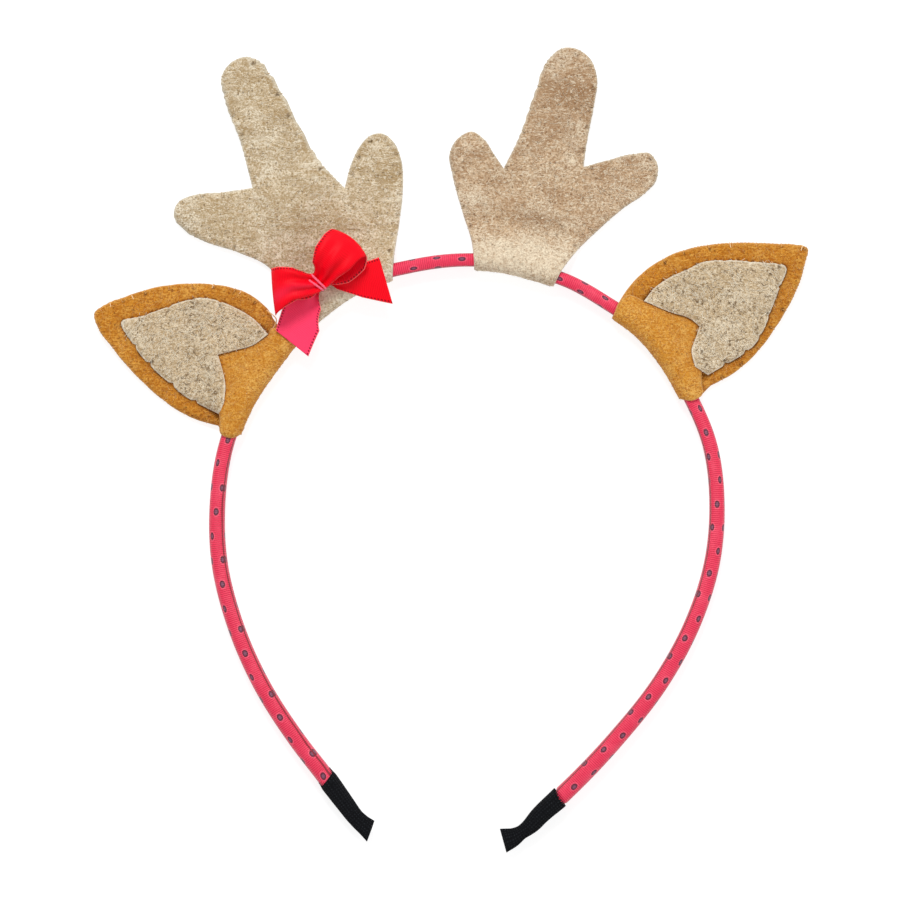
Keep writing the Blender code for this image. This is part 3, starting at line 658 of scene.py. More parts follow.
class Place:
    """A felt piece's own directions: its length outwards from the band, and its width."""

    def __init__(self, name, length, width, side_sign=1):
        station, lean = FELT_PLACES[name]
        self.along = station * LINE.length
        self.origin = LINE.place(self.along, 0)
        self.out = unit(angle_of(LINE.tangent(self.along)) + 90 + lean)
        self.side = side_sign * np.array([-self.out[1], self.out[0]])
        self.length = length
        self.width = width
        self.creases = [row[1:] for row in CREASES if row[0] == name]

    def point(self, reach, side):
        return self.origin + reach * self.length * self.out + side * self.width * self.side

    def shares(self, points):
        """Points in plan as (reach, side), both as shares of the piece's length."""
        return [(points - self.origin) @ axis / self.length for axis in (self.out, self.side)]

    def rise(self, points):
        """How far the felt stands off the surface, from its lifted tips and its creases."""
        reach, side = self.shares(points)
        height = TIP_LIFT * np.clip((reach - LIFT_FROM) / (1 - LIFT_FROM), 0, None) ** 2
        for *crease, share in self.creases:
            height += share * WALL * blob(reach, side, *crease)
        return height * np.clip((reach - ROOT) / ROOT, 0, 1)

    def stain_and_shading(self, name, points):
        """How dark or pale the wool is at each place in plan: its stains, and the light painted on the
        antlers' folds.
        """
        reach, side = self.shares(points)
        stains_and_shading = [row[1:] for row in STAINS_AND_SHADING if name.startswith(row[0])]
        return sum((depth * blob(reach, side, *stain_and_shading) for *stain_and_shading, depth in stains_and_shading), np.zeros(len(points)))


class Wrap:
    """Felt folded round the band: its front comes down to a level, and its back lies on the surface."""

    def __init__(self, along, level, slope):
        share = float(slimness(along))
        cover = SNUG + WALL / 2
        self.half_width = BAND_WIDTH / 2 * share + cover
        self.half_depth = BAND_DEPTH / 2 * share + cover
        self.quarter = math.pi / 4 * (self.half_width + self.half_depth)
        self.level = level
        self.slope = slope
        self.bends = np.linspace(-self.quarter, self.quarter, BEND_ROWS)

    def path(self, out, front):
        """The distance from the fold along the felt, to a point this far out from the band's middle line."""
        if out < 0:
            distance = math.acos(min(1, -out / self.half_width)) / (math.pi / 2) * self.quarter
        else:
            distance = self.quarter + out
        return -distance if front else distance

    def section(self, distance):
        """(out, height) at distances along the felt."""
        front = distance < 0
        beyond = np.abs(distance) - self.quarter
        turn = np.clip(np.abs(distance) / self.quarter, 0, 1) * math.pi / 2
        out = np.where(beyond < 0, -self.half_width * np.cos(turn), beyond)
        near = np.where(front, 1, -1) * self.half_depth * np.sin(turn)
        far = np.where(front, self.level, BACK)
        run = np.where(front, self.slope, BACK_SLOPE)
        share = (1 + np.cos(math.pi * np.clip(beyond / run, 0, 1))) / 2
        return out, far + (near - far) * np.where(beyond < 0, 1, share)

    def lay(self, flat):
        out, height = self.section(flat[:, 1])
        return LINE.place(flat[:, 0], out), height


class Level:
    """A flat layer of felt."""

    bends = np.array([])

    def __init__(self, height):
        self.height = height

    def path(self, out, _front):
        return out

    def lay(self, flat):
        return LINE.place(flat[:, 0], flat[:, 1]), np.full(len(flat), self.height)


class Lining(Level):
    """The inner leaf, which lies on the flap along its notch and comes down to the front leaf beyond."""

    def __init__(self, height, wrap, notch):
        super().__init__(height)
        self.wrap = wrap
        self.notch = notch

    def lay(self, flat):
        points, height = super().lay(flat)
        _, flap = self.wrap.section(-self.wrap.quarter - flat[:, 1])
        share = 1 - ease((distance_to(points, self.notch) - FLAP_UNDER) / LINING_SLOPE)
        return points, height + share * (flap + PITCH - height)


def tone(red, green, blue):
    """A colour as a screen shows it, for a shader."""
    shares = [value / 255 for value in (red, green, blue)]
    return (*[((share + 0.055) / 1.055) ** 2.4 if share > 0.04 else share / 12.92 for share in shares], 1)


class Finish:
    """A material that starts from one colour and has others laid over it, one by one."""

    def __init__(self, name, colour, **sockets):
        self.material = bpy.data.materials.new(name)
        self.material.use_nodes = True
        self.tree = self.material.node_tree
        self.shader = self.tree.nodes["Principled BSDF"]
        for socket, value in sockets.items():
            self.shader.inputs[socket.replace("_", " ")].default_value = value
        self.place = self.add("TexCoord").outputs["Object"]
        self.shade = tone(*colour)

    def add(self, kind, inputs=(), **settings):
        node = self.tree.nodes.new("ShaderNode" + kind)
        for key, value in settings.items():
            setattr(node, key, value)
        for key, value in dict(inputs).items():
            if isinstance(value, bpy.types.NodeSocket):
                self.tree.links.new(value, node.inputs[key])
            else:
                node.inputs[key].default_value = value
        return node

    def math(self, operation, *values):
        return self.add("Math", dict(enumerate(values)), operation=operation).outputs[0]

    def times(self, first, *others):
        for value in others:
            first = self.math("MULTIPLY", first, value)
        return first

    def plus(self, first, second):
        return self.math("ADD", first, second)

    def minus(self, first, second):
        return self.math("SUBTRACT", first, second)

    def without(self, share):
        """What a share leaves of 1."""
        return self.minus(1.0, share)

    def most(self, first, second):
        return self.math("MAXIMUM", first, second)

    def wave(self, value, length):
        return self.math("SINE", self.times(value, 2 * math.pi / length))

    def noise(self, size, detail=2.0, roughness=0.5, distortion=0.0, where=None):
        """Noise with patches about this size, in metres."""
        inputs = {
            "Vector": where or self.place,
            "Scale": 1 / size,
            "Detail": detail,
            "Roughness": roughness,
            "Distortion": distortion,
        }
        return self.add("TexNoise", inputs).outputs["Fac"]

    def band(self, value, low, high):
        """0 below low, 1 above high."""
        inputs = {"Value": value, "From Min": low, "From Max": high, "To Min": 0.0, "To Max": 1.0}
        return self.add("MapRange", inputs, interpolation_type="SMOOTHSTEP").outputs["Result"]

    def fibres(self, turn, length, width, seed):
        """Streaks in one direction."""
        inputs = {
            "Vector": self.place,
            "Location": (seed, seed, seed),
            "Rotation": (0.0, 0.0, math.radians(turn)),
            "Scale": (1 / length, 1 / width, 1 / length),
        }
        where = self.add("Mapping", inputs).outputs["Vector"]
        return self.noise(1.0, 1.0, 0.5, 1.2, where)

    def attribute(self, name, socket="Fac"):
        return self.add("Attribute", attribute_name=name).outputs[socket]

    def weave(self):
        """The millimetres along and across the cloth, and along its print."""
        return list(self.add("SeparateXYZ", {0: self.attribute("weave", "Vector")}).outputs)

    def tint(self, colour, *shares):
        """Lays a colour over the finish, as much of it as the product of the shares."""
        inputs = {0: self.times(*shares), 6: self.shade, 7: tone(*colour)}
        self.shade = self.add("Mix", inputs, data_type="RGBA", blend_type="MIX").outputs[2]

    def bump(self, height, depth, strength=1.0):
        node = self.add("Bump", {"Height": height, "Distance": depth, "Strength": strength})
        self.tree.links.new(node.outputs["Normal"], self.shader.inputs["Normal"])

    def made(self):
        """The material, with the colours on its shader."""
        self.tree.links.new(self.shade, self.shader.inputs["Base Color"])
        return self.material


def felt_finish(name, base, pale, deep, stain_and_shading, speck_and_shade, edge, specks, patchy=0.3, banded=0.0):
    """Wool felt: soft patches, fine grains, pale and dark fibres, specks, a paler cut edge, and painted shade
    beside upper layers and in stitch pits.
    """
    look = Finish(name, base, Roughness=0.95, Sheen_Weight=0.08, Sheen_Roughness=0.6, Specular_IOR_Level=0.1)
    grain = look.noise(0.00052, 3.0, 0.75)
    flecks = look.noise(0.0010, 3.0, 0.75, 1.0)
    cloud = look.noise(0.0060, 4.0, 0.7, 0.8)
    bright_cloud = look.noise(0.0075, 3.0, 0.65, 0.5)
    broken = look.band(flecks, 0.25, 0.65)
    marked = look.times(look.attribute("stain_and_shading"), look.plus(broken, 0.35))
    look.tint(stain_and_shading, look.band(cloud, 0.46, 0.62), patchy)
    look.tint(pale, look.band(bright_cloud, 0.48, 0.64), 0.55)
    if banded:
        look.tint(stain_and_shading, look.band(look.fibres(4, 0.0120, 0.0032, 5.2), 0.46, 0.62), banded)
    look.tint(stain_and_shading, look.band(marked, 0.10, 0.9), 0.72)
    # Paler below 0: the wool's paler stretches, and the light painted on the antlers' folds.
    paler_share = look.band(look.times(marked, -1.0), 0.1, 0.9)
    look.tint(pale, paler_share, 0.75)
    coarse = look.without(look.times(paler_share, 0.5))
    look.tint(deep, look.without(look.band(grain, 0.40, 0.58)), coarse, 0.9)
    look.tint(pale, look.band(flecks, 0.54, 0.62), 0.6)
    streaks = [look.fibres(turn, 0.0017, 0.00030, seed) for turn, seed in ((12, 1.3), (71, 2.7), (-48, 4.1))]
    light = look.most(streaks[0], look.most(streaks[1], streaks[2]))
    look.tint(pale, look.band(light, 0.63, 0.74), 0.7)
    dark = look.most(look.fibres(35, 0.0011, 0.00030, 7.9), look.fibres(-50, 0.0010, 0.00028, 9.2))
    look.tint(stain_and_shading, look.band(dark, 0.62, 0.72), coarse, 0.75)
    cells = look.add("TexVoronoi", {"Vector": look.place, "Scale": 1 / 0.0012, "Randomness": 1.0})
    draw = look.add("SeparateColor", {0: cells.outputs["Color"]}).outputs[0]
    dot = look.without(look.band(cells.outputs["Distance"], 0.12, 0.26))
    look.tint(speck_and_shade, dot, look.band(draw, 1 - specks, 1.02 - specks), coarse, 0.55)
    # Painted shade: a darker band and a dark line on the felt beside the edge of the layer that lies on it.
    near = look.attribute("near")
    look.tint(stain_and_shading, look.band(near, 0.05, 1.0), broken, 0.6)
    look.tint(speck_and_shade, look.band(near, 0.55, 0.85), 0.6)
    look.tint(edge, look.without(look.band(look.attribute("edge"), 0.05, 0.40)), 0.6)
    # Painted shade in the pits where the stitches pull the felt in.
    look.tint(speck_and_shade, look.band(look.attribute("stitch"), 0.35, 0.80), look.band(cloud, 0.40, 0.56), 0.8)
    look.bump(look.plus(light, look.times(grain, 1.4)), 0.00030, 0.8)
    return look.made()


def fibre_finish(name, pale, dark):
    """Loose wool fibres, some pale and some dark."""
    look = Finish(name, pale, Roughness=0.8, Sheen_Weight=0.2)
    look.tint(dark, look.band(look.noise(0.0009, 1.0), 0.52, 0.60))
    return look.made()


def grosgrain_finish():
    """Coral ribbon with fine crosswise ribs and a scatter of dark rings in rows, with painted shade along its
    sides and beside the free edge of its lap.
    """
    look = Finish("coral grosgrain ribbon", (206, 22, 62), Roughness=0.55,
                  Sheen_Weight=0.3, Sheen_Roughness=0.4)
    along, across, print_along = look.weave()
    ribs = look.wave(along, 0.5)
    look.tint((240, 48, 88), look.band(ribs, -1.0, 1.0))
    look.tint((246, 78, 108), look.band(look.noise(0.006, 3.0, 0.6), 0.45, 0.7), 0.35)
    # Painted shade: darker along the band's sides, where its surface turns away.
    look.tint((176, 20, 52), look.band(look.attribute("side"), 0.80, 1.0), 0.45)
    print_along = look.minus(print_along, DOT_START)
    row = look.math("ROUND", look.math("DIVIDE", print_along, DOT_ROW))
    off = look.minus(print_along, look.times(row, DOT_ROW))
    side = look.plus(look.minus(across, DOT_SIDE), look.times(row, DOT_STEP))
    lane = look.math("ROUND", look.math("DIVIDE", side, DOT_LANE))
    side = look.minus(side, look.times(lane, DOT_LANE))
    apart = [look.math("DIVIDE", off, DOT_LONG), look.math("DIVIDE", side, DOT_WIDE)]
    ring = look.math("SQRT", look.plus(*[look.math("POWER", value, 2.0) for value in apart]))
    look.tint((252, 110, 136), look.band(ring, 0.9, 1.15), look.without(look.band(ring, 1.2, 1.5)), 0.4)
    look.tint((66, 4, 34), look.without(look.band(ring, 0.85, 1.1)), 0.95)
    look.tint((140, 84, 112), look.without(look.band(ring, 0.30, 0.75)), 0.7)
    # Painted shadow: a dark red line along the ribbon's free edge and on the layer under it, beside the lap.
    past_edge = look.attribute("past_edge")
    seam = look.times(look.band(past_edge, -5.0, 0.0), look.without(look.band(past_edge, 13.0, 20.0)))
    look.tint((124, 0, 22), seam, 0.9)
    look.bump(look.plus(ribs, look.times(look.noise(0.0004, 2.0), 0.6)), 0.00005, 0.8)
    return look.made()


def satin_finish():
    """Red satin ribbon with fine crosswise threads and a dotted woven edge, with painted light in a lighter
    pink and painted shade in its folds.
    """
    look = Finish("red satin ribbon", (230, 0, 20), Roughness=0.45, Specular_IOR_Level=0.10,
                  Sheen_Weight=0.04, Sheen_Roughness=0.35, Sheen_Tint=tone(255, 120, 140))
    along, across, _ = look.weave()
    wavy = look.plus(along, look.times(look.noise(0.004, 1.0), 1.2))
    crosswise = look.wave(wavy, 0.45)
    look.tint((244, 0, 30), look.band(crosswise, -1.0, 1.0))
    # Painted light: a lighter pink where the satin catches the light, and a little inside the right loop to
    # lift its shade.
    look.tint((254, 66, 109), look.band(look.attribute("rosy"), 0.0, 1.0), 0.85)
    # Painted shade in the creases and folds.
    look.tint((206, 0, 14), look.band(look.attribute("fold"), 0.1, 1.0), 0.6)
    edge = look.minus(RIBBON_WIDTH / 2 * MM, look.math("ABSOLUTE", across))
    within = look.without(look.band(edge, 0.72, 0.85))
    dashes = look.band(look.wave(along, 0.75), -0.2, 0.3)
    dotted = look.times(within, look.band(edge, 0.20, 0.28), dashes)
    look.tint((120, 0, 18), dotted, 0.85)
    look.tint((255, 120, 116), look.without(look.band(edge, 0.16, 0.26)), 0.75)
    look.bump(look.plus(crosswise, look.times(dotted, -2.0)), 0.00003, 0.6)
    return look.made()


def elastic_finish():
    """Black elastic with a knitted surface."""
    look = Finish("black ribbed elastic", (3, 3, 7), Roughness=0.85, Specular_IOR_Level=0.15,
                  Sheen_Weight=0.04, Sheen_Roughness=0.5)
    along, around, _ = look.weave()
    stitches = look.wave(along, 0.7)
    ribs = look.band(look.math("COSINE", look.times(around, 2 * math.pi)), 0.2, 0.9)
    fuzz = look.noise(0.0004, 3.0, 0.7)
    look.tint((16, 18, 22), look.band(fuzz, 0.4, 0.75))
    look.tint((36, 40, 44), ribs, look.band(stitches, -0.4, 0.8), look.band(fuzz, 0.35, 0.6))
    look.bump(look.plus(stitches, look.times(fuzz, 2.0)), 0.00005, 0.8)
    return look.made()


def thread_finish(name, base, pale):
    """Twisted sewing thread."""
    look = Finish(name, base, Roughness=0.65, Sheen_Weight=0.3)
    twist = look.fibres(40, 0.0006, 0.00012, 3.3)
    look.tint(pale, look.band(twist, 0.35, 0.65))
    look.bump(twist, 0.00006)
    return look.made()


def put(name, data):
    """A new object in the scene."""
    obj = bpy.data.objects.new(name, data)
    bpy.context.scene.collection.objects.link(obj)
    return obj


def mesh_from(name, bm):
    """The bmesh as a mesh, after which it is freed."""
    mesh = bpy.data.meshes.new(name)
    bm.to_mesh(mesh)
    bm.free()
    return mesh


def piece(name, mesh, material, nodes=()):
    """A mesh, given in the hoop's own place, as a finished piece in the frame."""
    mesh.transform(Matrix.Translation(SHIFT))
    mesh.materials.clear()
    mesh.materials.append(material)
    mesh.shade_smooth()
    obj = put(name, mesh)
    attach(obj, "root")
    if nodes:
        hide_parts(*nodes)
    return obj


def set_attribute(obj, name, values):
    """Writes one number, or one row of three, for each vertex."""
    values = np.asarray(values, np.float32)
    kind, field = ("FLOAT", "value") if values.ndim == 1 else ("FLOAT_VECTOR", "vector")
    obj.data.attributes.new(name, kind, "POINT").data.foreach_set(field, values.ravel())


def add_wall(obj, thickness, offset=0):
    """Thickness on both sides of the surface, or with an offset of -1 on its inner side."""
    wall = obj.modifiers.new("Wall", "SOLIDIFY")
    wall.thickness = thickness
    wall.offset = offset
    return wall


def threads(name, paths, radius, material, sides=1):
    """Short threads as one mesh."""
    curve = bpy.data.curves.new(name, "CURVE")
    curve.dimensions = "3D"
    curve.bevel_depth = radius
    curve.bevel_resolution = sides
    curve.use_fill_caps = True
    for path in paths:
        spline = curve.splines.new("POLY")
        spline.points.add(len(path) - 1)
        for point, place in zip(spline.points, path):
            point.co = (*place, 1)
    obj = bpy.data.objects.new(name + "_line", curve)
    mesh = bpy.data.meshes.new_from_object(obj)
    bpy.data.objects.remove(obj)
    return piece(name, mesh, material)


class Stitches:
    """Stitches along an outline: where they cross its edge, which way is inwards, and where they go in."""

    def __init__(self, outline, seam, seed, spots=()):
        spacing, first, last, inset, self.nick, self.nick_width = STITCHING[seam]
        draw = random.Random(seed)
        run = run_along(outline)
        area = np.sum(outline[:, 0] * np.roll(outline[:, 1], -1) - outline[:, 1] * np.roll(outline[:, 0], -1))
        turn = 1 if area > 0 else -1
        places = [run[np.linalg.norm(outline - spot, axis=1).argmin()] for spot in spots]
        at = first
        while spacing and at < run[-1] - last:
            places.append(at)
            at += spacing * draw.uniform(0.9, 1.1)
        self.edges, self.inward, self.pits = [], [], []
        for at in places:
            point = read_along(at, run, outline)
            ahead = read_along(at + OUTLINE_STEP, run, outline) - point
            ahead = ahead / np.linalg.norm(ahead)
            inward = turn * np.array([-ahead[1], ahead[0]])
            lean = draw.uniform(-0.35, 0.35)
            self.edges.append(point)
            self.inward.append(inward)
            self.pits.append(point + inset * draw.uniform(0.8, 1.25) * (inward + lean * ahead))

    def scallop(self, outline, shares=1.0):
        """The outline pulled in at each stitch."""
        pulled = outline.copy()
        pulls = np.broadcast_to(self.nick * np.asarray(shares), len(self.edges))
        for edge, inward, pull in zip(self.edges, self.inward, pulls):
            apart = np.linalg.norm(outline - edge, axis=1)
            pulled += pull * hump(apart, 0, self.nick_width)[:, None] * inward
        return pulled

    def dent(self, points):
        """How much each point lies in a stitch's pit, from 0 to 1."""
        deep = np.zeros(len(points))
        for pit in self.pits:
            deep = np.maximum(deep, hump(np.linalg.norm(points - pit, axis=1), 0, PIT_WIDTH))
        return deep

    def sewn(self, name, place, low, high, radius, material, slot):
        """Threads that go in at each pit, round the edge and out behind."""
        paths = []
        for edge, inward, pit in zip(self.edges, self.inward, self.pits):
            middle = (low + high) / 2 + float(place.rise(np.array([edge]))[0])
            out = edge - 0.6 * radius * inward - pit
            turns = np.linspace(-math.pi / 2, math.pi / 2, 9)
            spots = [(*(pit + out * math.cos(turn) ** 0.6), math.sin(turn)) for turn in turns]
            paths.append([(x, y, middle + (high - low) / 2 * up) for x, y, up in spots])
        threads(name, paths, radius, material)


def clear_stitches(name, place):
    """The piece's stitches that show clearly: where they cross its edge, and the nicks that they pull."""
    rows = [row[1:] for row in CLEAR_STITCHES if row[0] == name]
    return [place.point(reach, side) for reach, side, _ in rows], [nick for _, _, nick in rows]


def lie(flat, place, layer):
    """Places on a felt piece's middle surface, with its rise and its soft lumps."""
    points, height = layer.lay(flat)
    height = height + place.rise(points)
    lumps = [
        sum(high * noise.noise(Vector((*point, level)) / size) for high, size in LUMP_WAVES)
        for point, level in zip(points, height)
    ]
    return np.column_stack([points, height + lumps])


def cut_along(bm, value, direction, clear=False):
    """Cuts a flat pattern along a line, and clears what is below it."""
    bmesh.ops.bisect_plane(
        bm,
        geom=bm.verts[:] + bm.edges[:] + bm.faces[:],
        dist=GRID / 12,
        plane_co=[value * axis for axis in direction],
        plane_no=direction,
        clear_inner=clear,
    )


def felt_pattern(layer, outline, lowest):
    """A flat pattern of (along the band, along the felt), cut into a fine grid."""
    bm = bmesh.new()
    bm.faces.new([bm.verts.new((along, distance, 0)) for along, distance in outline])
    low, high = outline.min(axis=0), outline.max(axis=0)
    reach = layer.bends.max() if len(layer.bends) else low[1]
    rows = [*layer.bends, *np.arange(reach + GRID, high[1], GRID), *-np.arange(reach + GRID, -low[1], GRID)]
    for value in np.arange(low[0], high[0], GRID)[1:]:
        cut_along(bm, value, (1, 0, 0))
    for value in rows:
        cut_along(bm, value, (0, 1, 0))
    if lowest is not None:
        cut_along(bm, lowest, (0, 1, 0), clear=True)
    bmesh.ops.triangulate(bm, faces=[face for face in bm.faces if len(face.verts) > 4])
    return bm


def cut_felt(name, place, layer, outline, material, node, stitches, over=None, lowest=None):
    """A felt piece cut to an outline and laid round or beside the band: its pattern, and where it is thin."""
    bm = felt_pattern(layer, outline, lowest)
    area = sum(face.calc_area() for face in bm.faces)
    flat = np.array([vert.co[:2] for vert in bm.verts])
    edge = distance_to(flat, np.vstack([outline, outline[:1]]))
    middle = lie(flat, place, layer)
    folded = isinstance(layer, Wrap)
    inwards = np.where(flat[:, 1] > 0, 1, -1) if folded else -1
    dent = stitches.dent(middle[:, :2])
    middle[:, 2] += inwards * (PIT_SINK * dent + EDGE_SINK * np.exp(-edge / EDGE_RUN))
    for vert, spot in zip(bm.verts, middle):
        vert.co = spot
    obj = piece(name, mesh_from(name, bm), material, [node])
    set_attribute(obj, "edge", edge * MM)
    # How far each point lies in a stitch's pit, which also sets the shade painted there.
    set_attribute(obj, "stitch", dent)
    set_attribute(obj, "stain_and_shading", place.stain_and_shading(name, middle[:, :2]))
    # Closeness to the outline of the layer on top, for the shade painted beside it.
    if over is not None:
        above = (flat[:, 1] < 0) if folded else True
        set_attribute(obj, "near", np.exp(-distance_to(middle[:, :2], over) / SHADE_RUN) * above)
    wall_share = EDGE_LEFT + (1 - EDGE_LEFT) * ease(edge / EDGE_ROUND)
    group = obj.vertex_groups.new(name="wall")
    for i, share in enumerate(wall_share):
        group.add([i], float(share), "REPLACE")
    wall = add_wall(obj, WALL)
    wall.use_even_offset = True
    wall.vertex_group = "wall"
    return flat, wall_share


def add_fibres(name, place, layer, cut, kind, material):
    """Loose fibres that lie on the felt and reach out over its edges."""
    flat, wall_share = cut
    count, length, radius, seed = FIBRES[kind]
    draw = np.random.default_rng(seed)
    pick = draw.choice(np.flatnonzero(wall_share > 0.9), size=count)
    turns = draw.uniform(0, 2 * math.pi, count)
    bends = draw.normal(0, 1.5, count)
    longs = length * draw.uniform(0.4, 1.3, count)
    share = np.linspace(-0.5, 0.5, 5)
    step = GRID / 8
    sign = -1 if isinstance(layer, Wrap) else 1
    paths = []
    for i, turn, bend, long in zip(pick, turns, bends, longs):
        heading = turn + bend * share
        spots = flat[i] + np.cumsum(np.column_stack([np.cos(heading), np.sin(heading)]), axis=0) * long / 4
        spots -= spots.mean(axis=0) - flat[i]
        middle = lie(spots, place, layer)
        ahead = lie(spots + (step, 0), place, layer) - middle
        aside = lie(spots + (0, step), place, layer) - middle
        outward = np.cross(ahead, aside)
        outward *= sign / np.linalg.norm(outward, axis=1, keepdims=True)
        lift = WALL / 2 * wall_share[i] + radius * (1 + 6 * (2 * share) ** 2)
        paths.append(middle + lift[:, None] * outward)
    threads(name, paths, radius, material, sides=0)


def on_felt(points, layer, front=False):
    """Points in plan as (along the band, along the felt)."""
    found = [LINE.find(point) for point in points]
    return np.array([(along, layer.path(out, front)) for along, out in found])


def leaf_points(place, sections, side, tip, root):
    """The knots of a leaf from its cheek side round the tip to its crown side."""
    cheek, crown = (1, 2) if side == "left" else (3, 4)
    rows = [row for row in sections if row[0] >= root]
    out = [place.point(row[0], row[cheek]) for row in rows]
    back = [place.point(row[0], -row[crown]) for row in rows[::-1]]
    return [*out, place.point(*tip), *back]


def inner_outline(place, side, edge):
    """The oatmeal leaf's outline, and the notch in it, which follows the flap's edge."""
    notch = edge[WRAP_ROWS + 1 : -WRAP_ROWS - 1]
    lobe_knots = [*leaf_points(place, INNER_SECTIONS, side, INNER_TIPS[side], 0), edge[-WRAP_ROWS - 1]]
    lobe = smooth(lobe_knots, OUTLINE_STEP)
    point_row = len(FLAP) - WRAP_ROWS - 1 - POINT_ROW
    notch_run = with_corners([lobe[-1], *notch[::-1]], [point_row], OUTLINE_STEP)
    return np.vstack([lobe, notch_run[1:]]), notch_run


def make_ear(side):
    """One ear: the back leaf with its flap, the front leaf, the oatmeal leaf and their stitches."""
    name = f"ear_{side}"
    seed = 1 if side == "left" else 2
    place = Place(name, EAR_LENGTH, EAR_WIDTH, 1 if side == "left" else -1)
    columns = slice(0, 2) if side == "left" else slice(2, 4)
    edge = [place.point(*row[columns]) for row in FLAP]
    inner, notch_run = inner_outline(place, side, edge)
    spots, nicks = clear_stitches(f"{name}_inner", place)
    seam = Stitches(inner, "inner", 20 + seed, spots)
    inner = seam.scallop(inner, nicks)

    wrap = Wrap(place.along, BACK + 2 * PITCH, FLAP_SLOPE)
    leaf_knots = leaf_points(place, LEAF_SECTIONS, side, LEAF_TIPS[side], LEAF_SECTIONS[1][0])
    leaf = smooth(leaf_knots, OUTLINE_STEP)
    rim = Stitches(leaf, "rim", 10 + seed)
    back_knots = [*edge[:WRAP_ROWS], *leaf_knots, *edge[1 - WRAP_ROWS :]]
    back = on_felt(rim.scallop(smooth(back_knots, OUTLINE_STEP)), wrap)
    notch = [point + FLAP_UNDER * place.out for point in edge[WRAP_ROWS + 1 : -WRAP_ROWS - 1]]
    flap = [*edge[: WRAP_ROWS + 1], *notch, *edge[-WRAP_ROWS - 1 :]]
    front = on_felt(with_corners(flap, [POINT_ROW], OUTLINE_STEP), wrap, front=True)
    cut = cut_felt(f"{name}_back_felt", place, wrap, np.vstack([back, front[::-1]]), FLAP_FELT,
                   f"{name}_back", rim, over=inner)
    add_fibres(f"{name}_back_fibres", place, wrap, cut, "back", BROWN_FIBRE)

    layer = Level(BACK + PITCH)
    knots = leaf_points(place, LEAF_SECTIONS, side, LEAF_TIPS[side], 0)
    knots = [place.point(0, ROOT_SIDE), *knots, place.point(0, -ROOT_SIDE)]
    outline = on_felt(rim.scallop(smooth(knots, OUTLINE_STEP)), layer)
    beside_band = BAND_WIDTH / 2 + 2 * SNUG + WALL
    cut = cut_felt(f"{name}_front_felt", place, layer, outline, BROWN_FELT,
                   f"{name}_front", rim, over=inner, lowest=beside_band)
    add_fibres(f"{name}_front_fibres", place, layer, cut, "front", BROWN_FIBRE)
    rim.sewn(f"{name}_rim_stitches", place, *SEWN_HEIGHTS, THREAD, BROWN_THREAD, "brown_felt")
    clear = Stitches(leaf, "clear", 13, clear_stitches(f"{name}_rim", place)[0])
    clear.sewn(f"{name}_clear_stitches", place, *SEWN_HEIGHTS, CLEAR_THREAD, PALE_THREAD, "brown_felt")

    layer = Lining(BACK + 2 * PITCH, wrap, notch_run)
    cut = cut_felt(f"{name}_inner_felt", place, layer, on_felt(inner, layer), OATMEAL_FELT,
                   f"{name}_inner", seam)
    add_fibres(f"{name}_inner_fibres", place, layer, cut, "inner", OATMEAL_FIBRE)


def make_antler(side, rows, height, width, seed, material):
    """One antler: a front and a back of the same outline, joined by the fold round the band."""
    name = f"antler_{side}"
    place = Place(name, height, width)
    wrap = Wrap(place.along, BACK + PITCH, ANTLER_SLOPE)
    notches = [i for i, row in enumerate(rows) if row[0] == "notch"]
    knots = [place.point(row[1], row[2]) for row in rows]
    points = with_corners(knots, notches, OUTLINE_STEP)
    seam = Stitches(points, "antler", seed)
    points = seam.scallop(points)
    outline = np.vstack([on_felt(points, wrap), on_felt(points, wrap, front=True)[::-1]])
    cut = cut_felt(f"{name}_felt", place, wrap, outline, material, name, seam)
    add_fibres(f"{name}_fibres", place, wrap, cut, "antler", OATMEAL_FIBRE)
    seam.sewn(f"{name}_stitches", place, *SEWN_HEIGHTS, THREAD, GREY_THREAD, "oatmeal_felt")


def grid_of(steps_along, steps_round):
    """A grid, and how far along it and how far round each of its points is, from 0 to 1."""
    bm = bmesh.new()
    bmesh.ops.create_grid(bm, x_segments=steps_along, y_segments=steps_round, size=1)
    shares = (np.array([vert.co[:2] for vert in bm.verts]) + 1) / 2
    return bm, shares[:, 0], shares[:, 1]


def shape_to(bm, points, heights):
    for vert, point, height in zip(bm.verts, points, heights):
        vert.co = (*point, height)


